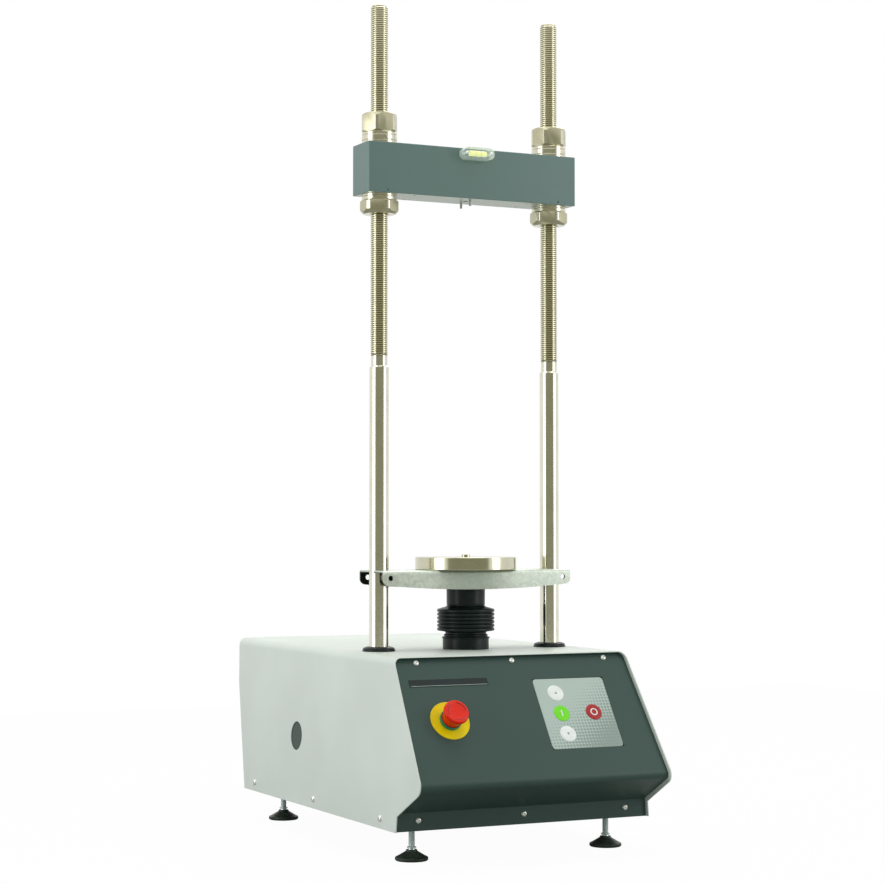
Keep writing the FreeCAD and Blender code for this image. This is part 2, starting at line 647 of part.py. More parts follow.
def column(x):
    shoulder, top = CASE_BOTTOM + COLUMN_SHOULDER, CASE_BOTTOM + COLUMN_TOP
    low = PLATE_Z - SPIGOT_LENGTH
    profile = [(0, low), (SPIGOT_RADIUS - 1, low), (SPIGOT_RADIUS, low + 1), (SPIGOT_RADIUS, PLATE_Z),
               (COLUMN_RADIUS, PLATE_Z), (COLUMN_RADIUS, shoulder), (UNDERCUT_RADIUS, shoulder + 2.5),
               (UNDERCUT_RADIUS, shoulder + UNDERCUT_LENGTH),
               (THREAD_RADIUS, shoulder + UNDERCUT_LENGTH + 1.5), (THREAD_RADIUS, top - COLUMN_TOP_CHAMFER),
               (THREAD_RADIUS - COLUMN_TOP_CHAMFER, top), (0, top)]
    return turned(profile, x)


def lower_crosshead():
    plate = box(-PLATE_LENGTH / 2, -PLATE_DEPTH / 2, PLATE_Z - PLATE_THICKNESS, PLATE_LENGTH, PLATE_DEPTH,
                PLATE_THICKNESS)
    plate = plate.makeChamfer(1.5, plate.Edges)
    for x in (-COLUMN_X, COLUMN_X):
        plate = plate.cut(disc(SPIGOT_RADIUS + 0.1, 0, PLATE_Z + 1, x))
    return plate.cut(disc(RAM_RADIUS + 6, 0, PLATE_Z + 1))


def ram_bush():
    return ring(RAM_RADIUS + 6, RAM_RADIUS + SCREW_RUNNING_FIT, PLATE_Z - PLATE_THICKNESS, PLATE_Z + 4)


def uprights():
    """Two plates that carry the load plate on the tray."""
    low = CASE_BOTTOM + TRAY_WALL
    high = PLATE_Z - PLATE_THICKNESS
    out = []
    for side in (-1, 1):
        x = side * UPRIGHT_X - UPRIGHT_WIDTH / 2
        web = box(x, -PLATE_DEPTH / 2, low, UPRIGHT_WIDTH, PLATE_DEPTH, high - low)
        foot = box(x if side < 0 else x - 20, -PLATE_DEPTH / 2, low, UPRIGHT_WIDTH + 20, PLATE_DEPTH, 8)
        window = disc(32, -30, 30)
        window.rotate(Vec(), Vec(0, 1, 0), 90)
        window.translate(Vec(side * UPRIGHT_X, 0, (low + high) / 2))
        out.append(web.fuse(foot).removeSplitter().cut(window))
    return out


def column_base_nuts():
    high = PLATE_Z - PLATE_THICKNESS
    return [hexagon(BASE_NUT_WIDTH, high - BASE_NUT_HEIGHT, high, x).cut(
        disc(SPIGOT_RADIUS + 0.05, 0, high + 1, x)) for x in (-COLUMN_X, COLUMN_X)]


def column_seals():
    top = CASE_TOP + SEAL_HEIGHT
    profile = [(COLUMN_RADIUS, CASE_TOP), (SEAL_RADIUS - 1, CASE_TOP), (SEAL_RADIUS, CASE_TOP + 1),
               (SEAL_RADIUS - 0.6, top - 1), (SEAL_RADIUS - 2, top), (COLUMN_RADIUS, top)]
    return [turned(profile, x) for x in (-COLUMN_X, COLUMN_X)]


BEAM_Z = CASE_BOTTOM + BEAM_BOTTOM
BEAM_TOP = BEAM_Z + BEAM_HEIGHT


def crossbeam():
    beam = box(-BEAM_LENGTH / 2, -BEAM_DEPTH / 2, BEAM_Z, BEAM_LENGTH, BEAM_DEPTH, BEAM_HEIGHT)
    beam = beam.makeChamfer(BEAM_EDGE, beam.Edges)
    for x in (-COLUMN_X, COLUMN_X):
        beam = beam.cut(disc(THREAD_RADIUS + BEAM_BORE_FIT, BEAM_Z - 1, BEAM_TOP + 1, x))
        beam = beam.cut(set_screw(x, 0.2, 1))
    beam = beam.cut(disc(PROBE_HOLE_RADIUS, BEAM_Z - 1, BEAM_Z + PROBE_HOLE_DEPTH))
    for y in (-PIN_SPACING / 2, PIN_SPACING / 2):
        beam = beam.cut(disc(PIN_RADIUS, BEAM_Z - 1, BEAM_Z + PIN_SEAT, 0, y))
    for x in (-SMALL_HOLE_X, SMALL_HOLE_X):
        for y in (-SMALL_HOLE_Y, SMALL_HOLE_Y):
            beam = beam.cut(disc(SMALL_HOLE_RADIUS, BEAM_Z - 1, BEAM_Z + SMALL_HOLE_DEPTH, x, y))
    for x in (-VIAL_SCREW_X, VIAL_SCREW_X):
        beam = beam.cut(vial_screw(x, 0.2))
    return beam


def set_screw(x, gap=0.0, extra=0.0):
    """Grub screw in the front face that locks a column in the beam."""
    pin = disc(SET_SCREW_RADIUS + gap, -SET_SCREW_LENGTH - extra, extra)
    return in_frame(pin, Vec(x, -BEAM_DEPTH / 2, BEAM_Z + SET_SCREW_Z), X_RIGHT, Z_UP)


def locating_pins():
    out = []
    for y in (-PIN_SPACING / 2, PIN_SPACING / 2):
        out.append(turned([(0, BEAM_Z - PIN_LENGTH), (PIN_RADIUS - 0.6, BEAM_Z - PIN_LENGTH),
                           (PIN_RADIUS, BEAM_Z - PIN_LENGTH + 0.8), (PIN_RADIUS, BEAM_Z + PIN_SEAT),
                           (0, BEAM_Z + PIN_SEAT)], 0, y))
    return out


VIAL_FACE = -BEAM_DEPTH / 2 - VIAL_BLOCK_DEPTH
VIAL_Z = BEAM_TOP - 0.5 - VIAL_BLOCK_HEIGHT / 2


def vial_block():
    """Clear block with round ends and a bored cavity for the spirit level vial."""
    end = VIAL_BLOCK_HEIGHT / 2
    reach = VIAL_BLOCK_LENGTH / 2 - end
    block = box(-reach, VIAL_FACE, VIAL_Z - end, 2 * reach, VIAL_BLOCK_DEPTH, VIAL_BLOCK_HEIGHT)
    ends = [Part.makeCylinder(end, VIAL_BLOCK_DEPTH, Vec(x, VIAL_FACE, VIAL_Z), Y_BACK)
            for x in (-reach, reach)]
    block = block.fuse(ends).removeSplitter()
    left_end = Vec(-VIAL_LENGTH / 2 - VIAL_FIT, VIAL_FACE + VIAL_IN, VIAL_Z)
    cavity = Part.makeCylinder(VIAL_RADIUS + VIAL_FIT, VIAL_LENGTH + 2 * VIAL_FIT, left_end, X_RIGHT)
    block = block.cut(cavity)
    for x in (-VIAL_SCREW_X, VIAL_SCREW_X):
        block = block.cut(vial_screw(x, 0.2))
    return block


def vial():
    left_end = Vec(-VIAL_LENGTH / 2, VIAL_FACE + VIAL_IN, VIAL_Z)
    return Part.makeCylinder(VIAL_RADIUS, VIAL_LENGTH, left_end, X_RIGHT)


def vial_screw(x, gap=0.0):
    length = VIAL_BLOCK_DEPTH + 8
    screw = button_screw(M3, length) if gap == 0 else disc(M3[2] + gap, -length - 1, 4)
    return in_frame(screw, Vec(x, VIAL_FACE, VIAL_Z), X_RIGHT, Z_UP)


def upper_nut(x, turn):
    low, step, top = BEAM_TOP, BEAM_TOP + UPPER_COLLAR_HEIGHT, BEAM_TOP + UPPER_NUT_HEIGHT
    bore = THREAD_RADIUS + NUT_FIT
    collar = ring(NUT_COLLAR_RADIUS, bore, low, step, x)
    body = turned([(bore, step), (UPPER_NUT_RADIUS, step), (UPPER_NUT_RADIUS, top - 6),
                   (UPPER_NUT_RADIUS - 1.8, top - 2.2), (UPPER_NUT_RADIUS - 5, top), (bore, top)], x)
    return collar.fuse(body.common(nut_prism(UPPER_NUT_FLATS, step, top, x, turn)))


def nut_prism(flats, low, high, x, turn):
    prism = hexagon(flats, low - 1, high + 1)
    prism.rotate(Vec(), Vec(0, 0, 1), turn)
    prism.translate(Vec(x, 0, 0))
    return prism


def lower_nut(x, turn):
    """Nut with its round collar, a thin ring above a groove, against the beam's underside."""
    top = BEAM_Z
    groove = top - LOWER_RING_HEIGHT
    step = top - LOWER_COLLAR_HEIGHT
    hex_low = step - LOWER_HEX_HEIGHT
    low = top - LOWER_NUT_HEIGHT
    bore = THREAD_RADIUS + NUT_FIT
    collar = turned([(bore, step), (NUT_COLLAR_RADIUS, step), (NUT_COLLAR_RADIUS, groove - NUT_GROOVE / 2),
                     (NUT_COLLAR_RADIUS - NUT_GROOVE, groove), (NUT_COLLAR_RADIUS, groove + NUT_GROOVE / 2),
                     (NUT_COLLAR_RADIUS, top), (bore, top)], x)
    body = turned([(bore, low), (LOWER_NOSE_RADIUS, low), (LOWER_NUT_RADIUS - 1, hex_low),
                   (LOWER_NUT_RADIUS, hex_low + 1.5), (LOWER_NUT_RADIUS, step), (bore, step)], x)
    return collar.fuse(body.common(nut_prism(LOWER_NUT_FLATS, low, step, x, turn)))


PLATEN_Z = CASE_BOTTOM + PLATEN_TOP
WEB_TOP = PLATEN_Z - PLATEN_THICKNESS
WEB_LOW = WEB_TOP - BRACKET_WALL


def platen():
    boss_top = PLATEN_Z + BOSS_HEIGHT
    rim = PLATEN_RADIUS - PLATEN_EDGE
    return turned([(0, WEB_TOP), (rim, WEB_TOP), (PLATEN_RADIUS, WEB_TOP + PLATEN_EDGE),
                   (PLATEN_RADIUS, PLATEN_Z - PLATEN_EDGE), (rim, PLATEN_Z), (BOSS_RADIUS, PLATEN_Z),
                   (BOSS_RADIUS, boss_top - 1), (BOSS_RADIUS - 1, boss_top), (0, boss_top)])


def ram_screw():
    """Trapezoidal lead screw with a head that the guide bracket and platen are bolted to."""
    low = CASE_BOTTOM + RAM_BOTTOM
    head = CASE_BOTTOM + TOP_COLLAR_TOP + BELLOWS_GAP
    return turned([(0, low), (RAM_RADIUS - 2, low), (RAM_RADIUS, low + 2), (RAM_RADIUS, head),
                   (RAM_HEAD_RADIUS, head), (RAM_HEAD_RADIUS, WEB_LOW), (0, WEB_LOW)])


def bracket_flange():
    """Lens-shaped side of the guide bracket, in the X-Z plane, hanging from the web."""
    half, drop = BRACKET_LENGTH / 2, BRACKET_END_DROP
    left_low, right_low = Vec(-half, 0, WEB_TOP - drop), Vec(half, 0, WEB_TOP - drop)
    corner = BRACKET_CORNER
    arc = Part.Arc(Vec(-half + corner, 0, WEB_TOP - drop - 1.2), Vec(0, 0, WEB_TOP - BRACKET_MID_DROP),
                   Vec(half - corner, 0, WEB_TOP - drop - 1.2)).toShape()
    tip = corner * 0.3
    first, last = arc.valueAt(arc.FirstParameter), arc.valueAt(arc.LastParameter)
    left = Part.Arc(Vec(-half, 0, WEB_TOP - drop + corner), left_low + Vec(tip, 0, tip), first)
    right = Part.Arc(Vec(half, 0, WEB_TOP - drop + corner), right_low + Vec(-tip, 0, tip), last)
    lines = [Part.LineSegment(Vec(-half, 0, WEB_TOP), Vec(half, 0, WEB_TOP)).toShape(),
             Part.LineSegment(Vec(half, 0, WEB_TOP), Vec(half, 0, WEB_TOP - drop + corner)).toShape(),
             Part.LineSegment(Vec(-half, 0, WEB_TOP), Vec(-half, 0, WEB_TOP - drop + corner)).toShape()]
    face = Part.Face(Part.Wire(Part.__sortEdges__([arc, left.toShape(), right.toShape()] + lines)))
    plate = face.extrude(Vec(0, BRACKET_WALL, 0))
    for x in (-COLUMN_X, COLUMN_X):
        hole = Part.makeCylinder(BRACKET_HOLE_RADIUS, 3 * BRACKET_WALL,
                                 Vec(x, -BRACKET_WALL, WEB_TOP - drop / 2 - 1), Vec(0, 1, 0))
        plate = plate.cut(hole)
    return plate


def guide_bracket():
    """Channel round both columns that keeps the ram from turning."""
    half = BRACKET_DEPTH / 2
    web = box(-BRACKET_LENGTH / 2, -half, WEB_LOW, BRACKET_LENGTH, BRACKET_DEPTH, BRACKET_WALL)
    front, rear = bracket_flange(), bracket_flange()
    front.translate(Vec(0, -half, 0))
    rear.translate(Vec(0, half - BRACKET_WALL, 0))
    shape = web.fuse([front, rear]).removeSplitter()
    notch = COLUMN_RADIUS + BRACKET_NOTCH_FIT
    for side in (-1, 1):
        x = side * COLUMN_X
        shape = shape.cut(disc(notch, WEB_LOW - 1, WEB_TOP + 1, x))
    return shape


def top_collar():
    low, high = CASE_BOTTOM + TOP_COLLAR_BOTTOM, CASE_BOTTOM + TOP_COLLAR_TOP
    bore = RAM_RADIUS
    return turned([(bore, low), (TOP_COLLAR_RADIUS - 0.8, low), (TOP_COLLAR_RADIUS, high - 1.5),
                   (TOP_COLLAR_RADIUS - 1.5, high), (bore, high)])


def bellows():
    """Folded rubber boot between the two collars."""
    first = CASE_BOTTOM + FIRST_FOLD
    half = FOLD_PITCH / 2
    outer = [(NECK_RADIUS, CASE_BOTTOM + NECK_TOP + BELLOWS_GAP), (FOLD_ROOT + 3, first - half)]
    for k in range(FOLD_COUNT):
        z = first + k * FOLD_PITCH
        outer.append((FOLD_RADIUS, z - 0.7))
        outer.append((FOLD_RADIUS, z + 0.7))
        if k < FOLD_COUNT - 1:
            outer.append((FOLD_ROOT, z + half))
    outer.append((TOP_COLLAR_RADIUS - 1, CASE_BOTTOM + TOP_COLLAR_BOTTOM - BELLOWS_GAP))
    inner = [(r - FOLD_WALL * 1.6, z) for r, z in reversed(outer)]
    return turned(outer + inner)


def bellows_base():
    low, high, top = CASE_TOP, CASE_BOTTOM + LOWER_COLLAR_TOP, CASE_BOTTOM + NECK_TOP
    bore = NECK_RADIUS - FOLD_WALL
    return turned([(bore, low), (LOWER_COLLAR_RADIUS, low), (LOWER_COLLAR_RADIUS, high - 1.2),
                   (LIP_RADIUS, high - 0.6), (LIP_RADIUS, high + 0.4), (NECK_RADIUS + 0.6, high + 2),
                   (RIDGE_RADIUS, high + 3.4), (RIDGE_RADIUS, high + 4.6), (NECK_RADIUS, high + 6),
                   (NECK_RADIUS, top), (bore, top)])


HOUSING_TOP = PLATE_Z - PLATE_THICKNESS
HOUSING_LOW = CASE_BOTTOM + HOUSING_BOTTOM


def jack_housing():
    flange = disc(HOUSING_FLANGE, HOUSING_TOP - HOUSING_FLANGE_THICKNESS, HOUSING_TOP)
    barrel = disc(HOUSING_RADIUS, HOUSING_LOW, HOUSING_TOP)
    cavity = disc(HOUSING_BORE, HOUSING_LOW + 4, HOUSING_TOP + 1)
    mouth = disc(NUT_BARREL_RADIUS + 2, HOUSING_LOW - 1, HOUSING_TOP)
    return flange.fuse(barrel).cut(cavity).cut(mouth)


def bearing(low):
    inner = NUT_BARREL_RADIUS + BEARING_FIT
    outer = HOUSING_BORE
    return turned([(inner, low), (outer, low), (outer, low + BEARING_HEIGHT), (inner, low + BEARING_HEIGHT)])


def nut_bearings():
    low = HOUSING_LOW + 4
    high = CASE_BOTTOM + DRIVE_NUT_TOP - BEARING_HEIGHT - 1
    return [bearing(low), bearing(high)]


def drive_nut():
    """Bronze nut that turns on the ram screw between its two bearings."""
    low, top = CASE_BOTTOM + DRIVE_NUT_BOTTOM, CASE_BOTTOM + DRIVE_NUT_TOP
    step_low = HOUSING_LOW + 4 + BEARING_HEIGHT + 0.3
    step_high = top - BEARING_HEIGHT - 1 - 0.3
    bore = RAM_RADIUS + SCREW_RUNNING_FIT
    return turned([(bore, low), (NUT_BARREL_RADIUS, low), (NUT_BARREL_RADIUS, step_low),
                   (NUT_SHOULDER_RADIUS, step_low), (NUT_SHOULDER_RADIUS, step_high),
                   (NUT_BARREL_RADIUS, step_high), (NUT_BARREL_RADIUS, top), (bore, top)])


def pulley(radius, bore, y):
    low = CASE_BOTTOM + PULLEY_BOTTOM
    high = low + PULLEY_HEIGHT
    rim, lip = radius + PULLEY_FLANGE_STEP, PULLEY_FLANGE
    return turned([(bore, low), (rim, low), (rim, low + lip), (radius, low + lip), (radius, high - lip),
                   (rim, high - lip), (rim, high), (bore, high)], 0, y)


def belt_loop(first, second, low, high):
    """Prism round two circles: radius first at the ram, second at the motor."""
    turn = math.acos((first - second) / MOTOR_Y)
    s, c = math.sin(turn), math.cos(turn)
    a1, a2 = Vec(first * s, first * c, low), Vec(-first * s, first * c, low)
    b1, b2 = Vec(second * s, MOTOR_Y + second * c, low), Vec(-second * s, MOTOR_Y + second * c, low)
    edges = [Part.LineSegment(a1, b1).toShape(), Part.Arc(b1, Vec(0, MOTOR_Y + second, low), b2).toShape(),
             Part.LineSegment(b2, a2).toShape(), Part.Arc(a2, Vec(0, -first, low), a1).toShape()]
    return Part.Face(Part.Wire(edges)).extrude(Vec(0, 0, high - low))


def belt():
    low = CASE_BOTTOM + PULLEY_BOTTOM + PULLEY_FLANGE + BELT_SIDE_GAP
    high = CASE_BOTTOM + PULLEY_BOTTOM + PULLEY_HEIGHT - PULLEY_FLANGE - BELT_SIDE_GAP
    inside = belt_loop(NUT_PULLEY_RADIUS + BELT_FIT, MOTOR_PULLEY_RADIUS + BELT_FIT, low - 1, high + 1)
    grow = BELT_FIT + BELT_WALL
    return belt_loop(NUT_PULLEY_RADIUS + grow, MOTOR_PULLEY_RADIUS + grow, low, high).cut(inside)


SHELF_LOW = CASE_BOTTOM + MOTOR_SHELF_Z
SHELF_TOP = SHELF_LOW + MOTOR_SHELF_WALL


def motor_shaft():
    low = CASE_BOTTOM + PULLEY_BOTTOM - 3
    return disc(MOTOR_SHAFT_RADIUS, low, SHELF_TOP + MOTOR_SHAFT_IN, 0, MOTOR_Y)


def motor_bracket():
    """Shelf for the gearmotor, folded down to the tray on both sides."""
    half, front, rear = MOTOR_SHELF_HALF, MOTOR_Y - MOTOR_SHELF_REACH, MOTOR_Y + MOTOR_SHELF_REACH
    low, foot = CASE_BOTTOM + TRAY_WALL, MOTOR_SHELF_FOOT
    path = [Vec(half + foot, front, low), Vec(half, front, low), Vec(half, front, SHELF_LOW),
            Vec(-half, front, SHELF_LOW), Vec(-half, front, low), Vec(-half - foot, front, low)]
    shape = folded_sheet(path, [0, 3.0, 3.0, 0], Y_BACK, MOTOR_SHELF_WALL, rear - front)
    return shape.cut(disc(MOTOR_SHAFT_RADIUS + 6, low, SHELF_TOP, 0, MOTOR_Y))


def gearbox():
    half = GEARBOX_WIDTH / 2
    body = box(-half, MOTOR_Y - half, SHELF_TOP, GEARBOX_WIDTH, GEARBOX_WIDTH, GEARBOX_HEIGHT)
    body = body.makeFillet(6.0, [e for e in body.Edges if abs(e.tangentAt(e.FirstParameter).z) > 0.9])
    bore = MOTOR_SHAFT_RADIUS + SCREW_RUNNING_FIT
    return body.cut(disc(bore, SHELF_LOW, SHELF_TOP + MOTOR_SHAFT_IN + 1, 0, MOTOR_Y))


def drive_motor():
    low = SHELF_TOP + GEARBOX_HEIGHT
    body = disc(MOTOR_RADIUS, low, low + MOTOR_HEIGHT, 0, MOTOR_Y)
    return body.makeChamfer(2.0, [e for e in body.Edges if e.CenterOfMass.z > low + MOTOR_HEIGHT - 1])


def stop_disc():
    return on_slope(ring(STOP_DISC_RADIUS, STOP_HOLE, 0, STOP_DISC_WALL), STOP_X, STOP_DOWN)


def stop_body():
    """Cupped collar in front of the panel with its barrel through it, and the nut that clamps it."""
    bore = STOP_STEM_RADIUS + STOP_STEM_FIT
    inner = STOP_COLLAR_RADIUS - STOP_COLLAR_WALL
    profile = [(bore, -STOP_BODY_DEPTH), (STOP_BARREL, -STOP_BODY_DEPTH), (STOP_BARREL, STOP_DISC_WALL),
               (STOP_COLLAR_RADIUS, STOP_DISC_WALL), (STOP_COLLAR_RADIUS, STOP_COLLAR_TOP - 0.6),
               (STOP_COLLAR_RADIUS - 0.6, STOP_COLLAR_TOP), (inner, STOP_COLLAR_TOP),
               (inner, STOP_COLLAR_FLOOR), (bore, STOP_COLLAR_FLOOR)]
    nut = ring(STOP_NUT_RADIUS, STOP_BARREL, -PANEL_WALL - STOP_NUT_HEIGHT, -PANEL_WALL)
    return [on_slope(shape, STOP_X, STOP_DOWN) for shape in (turned(profile), nut)]


def stop_contacts():
    """Contact block clipped on the back of the barrel."""
    depth = STOP_BODY_DEPTH
    block = box(-15, -20, -depth - 26, 30, 40, 26).cut(disc(STOP_STEM_RADIUS + 0.5, -depth - 12, -depth + 1))
    return on_slope(block, STOP_X, STOP_DOWN)


def stop_stem():
    return on_slope(disc(STOP_STEM_RADIUS, -STOP_BODY_DEPTH - 6, STOP_STEM_TOP), STOP_X, STOP_DOWN)


def stop_head():
    """Waisted mushroom head with a shallow dish."""
    gap = STOP_COLLAR_FLOOR + STOP_TRAVEL + 0.4
    top = STOP_HEAD_TOP
    bore = STOP_STEM_RADIUS + STOP_STEM_FIT
    profile = [(bore, gap), (STOP_SKIRT_RADIUS, gap), (STOP_WAIST_RADIUS, top - 12),
               (STOP_HEAD_RADIUS - 0.8, top - 6.5), (STOP_HEAD_RADIUS, top - 4.5),
               (STOP_HEAD_RADIUS - 0.5, top - 2), (STOP_HEAD_RADIUS - 2.5, top),
               (STOP_HEAD_RADIUS - 6, top - 0.4), (0, top - 1.2),
               (0, STOP_STEM_TOP + STOP_STEM_FIT), (bore, STOP_STEM_TOP + STOP_STEM_FIT)]
    return on_slope(turned(profile), STOP_X, STOP_DOWN)


KEYS = {"key_up": (-KEY_COLUMN, KEY_ROW), "key_start": (-KEY_COLUMN, 0.0),
        "key_down": (-KEY_COLUMN, -KEY_ROW), "key_stop": (KEY_COLUMN, 0.0)}
OVERLAY_FACE = -0.5
OVERLAY_BACK = -1.5
POCKET_FLOOR = -2.7


def plate_with_corners(width, height, corner, low, high):
    plate = box(-width / 2, -height / 2, low, width, height, high - low)
    return plate.makeFillet(corner, [e for e in plate.Edges if abs(e.tangentAt(e.FirstParameter).z) > 0.9])


def keypad_overlay():
    plate = plate_with_corners(KEYPAD_WIDTH - 0.6, KEYPAD_HEIGHT - 0.6, KEYPAD_CORNER, OVERLAY_BACK,
                               OVERLAY_FACE)
    for x, y in KEYS.values():
        plate = plate.cut(disc(KEY_RADIUS + KEY_GAP, -3, 3, x, y))
    return on_slope(plate, KEYPAD_X, KEYPAD_DOWN)


def keypad_board():
    """Backing board behind the window, stepped forward into it, with a pocket behind each key."""
    margin = 2 * BACK_BOARD_MARGIN
    width, height = KEYPAD_WIDTH + margin, KEYPAD_HEIGHT + margin
    board = box(-width / 2, -height / 2, -PANEL_WALL - 3, width, height, 3)
    step = box(-KEYPAD_WIDTH / 2 + 0.3, -KEYPAD_HEIGHT / 2 + 0.3, -PANEL_WALL, KEYPAD_WIDTH - 0.6,
               KEYPAD_HEIGHT - 0.6, PANEL_WALL + OVERLAY_BACK)
    board = board.fuse(step)
    for x, y in KEYS.values():
        board = board.cut(disc(KEY_RADIUS + KEY_GAP, POCKET_FLOOR, 3, x, y))
    return on_slope(board, KEYPAD_X, KEYPAD_DOWN)


def key(x, y):
    cap = turned([(0, POCKET_FLOOR + KEY_TRAVEL + 0.25), (KEY_RADIUS, POCKET_FLOOR + KEY_TRAVEL + 0.25),
                  (KEY_RADIUS, 0.1), (KEY_RADIUS - 0.6, 0.5), (0, 0.5)])
    cap.translate(Vec(x, y, 0))
    return on_slope(cap, KEYPAD_X, KEYPAD_DOWN)


def name_plate():
    plate = plate_with_corners(PLATE_WIDTH, PLATE_HIGH, 1.0, 0, PLATE_WALL)
    return on_slope(plate, PLATE_X, PLATE_DOWN)


def power_inlet():
    """Panel module: flange outside, body inside, open socket with three blades, and a rocker's well."""
    flange = plate_with_corners(INLET_WIDTH, INLET_HIGH - INLET_LOW, 4.0, 0, INLET_LIP)
    flange.translate(Vec(0, (INLET_HIGH + INLET_LOW) / 2, 0))
    body_low, body_high = INLET_LOW + INLET_LIP, INLET_HIGH - INLET_LIP
    body = box(-INLET_BODY_WIDTH / 2, body_low, -INLET_DEPTH,
               INLET_BODY_WIDTH, body_high - body_low, INLET_DEPTH)
    socket = box(-INLET_OPEN_WIDTH / 2, -INLET_OPEN_HEIGHT / 2, -INLET_DEPTH + 5, INLET_OPEN_WIDTH,
                 INLET_OPEN_HEIGHT, INLET_DEPTH)
    well_half, well_wide = ROCKER_HALF + ROCKER_GAP, ROCKER_WIDTH + 2 * ROCKER_SIDE_GAP
    well = box(-well_wide / 2, ROCKER_UP - well_half, -ROCKER_WELL, well_wide, 2 * well_half, 2 * ROCKER_WELL)
    shape = flange.fuse(body).cut(socket).cut(well)
    for x, y in ((-7, -2), (0, 2), (7, -2)):
        shape = shape.fuse(box(x - 1, y - 2, -INLET_DEPTH + 4, 2, 4, INLET_DEPTH - 9))
    return on_rear(shape, INLET_X, INLET_UP)


def rocker():
    """Two-lobed rocker, stored with one half pressed."""
    half = ROCKER_HALF
    face = ROCKER_PIVOT + 6
    rise = half * math.tan(math.radians(ROCKER_TILT)) / 2
    outline = [Vec(0, -half, face + rise), Vec(0, 0, face), Vec(0, half, face + rise), Vec(0, half - 2, -4),
               Vec(0, 3, -8), Vec(0, -3, -8), Vec(0, -half + 2, -4), Vec(0, -half, face + rise)]
    shape = Part.Face(Part.makePolygon(outline)).extrude(Vec(ROCKER_WIDTH, 0, 0))
    shape.translate(Vec(-ROCKER_WIDTH / 2, 0, 0))
    shape.rotate(Vec(0, 0, ROCKER_PIVOT), Vec(1, 0, 0), -ROCKER_TILT)
    return on_rear(shape, INLET_X, INLET_UP + ROCKER_UP)


def tray_box(spec, lift=0.0):
    x, y, dx, dy, dz = spec
    return box(x, y, CASE_BOTTOM + TRAY_WALL + lift, dx, dy, dz)


def finned_drive():
    """Motor drive: closed box with a row of cooling fins on its outer side."""
    low = CASE_BOTTOM + TRAY_WALL
    dx, dy, dz = DRIVE_SIZE
    x, y = DRIVE_WALL_GAP - half_width(low + dz), DRIVE_FRONT
    fin_gap, fin_depth = 12.0, 14.0
    shape = tray_box((x, y, dx, dy, dz))
    gaps = int((dy - 8) // fin_gap)
    for k in range(gaps):
        start = y + 6 + k * fin_gap
        shape = shape.cut(box(x + dx - fin_depth, start, low - 1, fin_depth + 1, fin_gap - 4, dz + 2))
    return shape


def board_corners():
    x, y, dx, dy, dz = BOARD_BOX
    inset = STANDOFF_INSET
    return [(a, b) for a in (x + inset, x + dx - inset) for b in (y + inset, y + dy - inset)]


def control_board():
    board = tray_box(BOARD_BOX, STANDOFF_HEIGHT)
    x, y, dx, dy, dz = BOARD_BOX
    top = CASE_BOTTOM + TRAY_WALL + STANDOFF_HEIGHT + dz
    return board.fuse([box(x + a, y + b, top, width, depth, height)
                       for a, b, width, depth, height in (CHIP, COIL, TERMINALS)])


def board_standoffs():
    low = CASE_BOTTOM + TRAY_WALL
    return [disc(STANDOFF_RADIUS, low, low + STANDOFF_HEIGHT, a, b) for a, b in board_corners()]


def nodes():
    """Every node's shape, or list of shapes where like pieces share a node."""
    pieces = {
        "cover": cover(), "side_hole_plug": side_hole_plug(), "front_panel": front_panel(),
        "rear_panel": rear_panel(), "panel_rails": panel_rails(), "base_tray": base_tray(),
        "lower_crosshead": lower_crosshead(), "frame_uprights": uprights(),
        "left_column": column(-COLUMN_X), "right_column": column(COLUMN_X),
        "column_base_nuts": column_base_nuts(),
        "column_seals": column_seals(), "ram_bush": ram_bush(), "crossbeam": crossbeam(),
        "locating_pins": locating_pins(), "level_block": vial_block(), "level_vial": vial(),
        "beam_screws": [set_screw(-COLUMN_X), set_screw(COLUMN_X), vial_screw(-VIAL_SCREW_X),
                        vial_screw(VIAL_SCREW_X)],
        "platen": platen(), "ram_screw": ram_screw(), "guide_bracket": guide_bracket(), "bellows": bellows(),
        "bellows_top_collar": top_collar(), "bellows_base_collar": bellows_base(),
        "jack_housing": jack_housing(),
        "nut_bearings": nut_bearings(), "drive_nut": drive_nut(),
        "nut_pulley": pulley(NUT_PULLEY_RADIUS, NUT_BARREL_RADIUS, 0.0),
        "motor_pulley": [pulley(MOTOR_PULLEY_RADIUS, MOTOR_SHAFT_RADIUS, MOTOR_Y), motor_shaft()],
        "drive_belt": belt(), "motor_bracket": motor_bracket(), "motor_gearbox": gearbox(),
        "drive_motor": drive_motor(), "stop_disc": stop_disc(), "stop_body": stop_body(),
        "stop_contacts": stop_contacts(), "stop_stem": stop_stem(), "stop_head": stop_head(),
        "keypad_overlay": keypad_overlay(), "keypad_board": keypad_board(), "name_plate": name_plate(),
        "power_inlet": power_inlet(), "switch_rocker": rocker(), "motor_drive": finned_drive(),
        "power_supply": tray_box(SUPPLY_BOX), "control_board": control_board(),
    }
    for name, (x, y) in KEYS.items():
        pieces[name] = key(x, y)
    sides = zip(("left", "right"), (-COLUMN_X, COLUMN_X), UPPER_NUT_TURNS, LOWER_NUT_TURNS)
    for label, x, upper_turn, lower_turn in sides:
        pieces["upper_%s_nut" % label] = upper_nut(x, upper_turn)
        pieces["lower_%s_nut" % label] = lower_nut(x, lower_turn)
    for label, (x, y) in zip(("front_left", "front_right", "rear_left", "rear_right"), foot_places()):
        pieces["foot_%s" % label] = [foot_pad(x, y), foot_stud(x, y)]
    pieces["case_screws"] = [place(button_screw(size)) for group, size, place in screw_sets()]
    return pieces


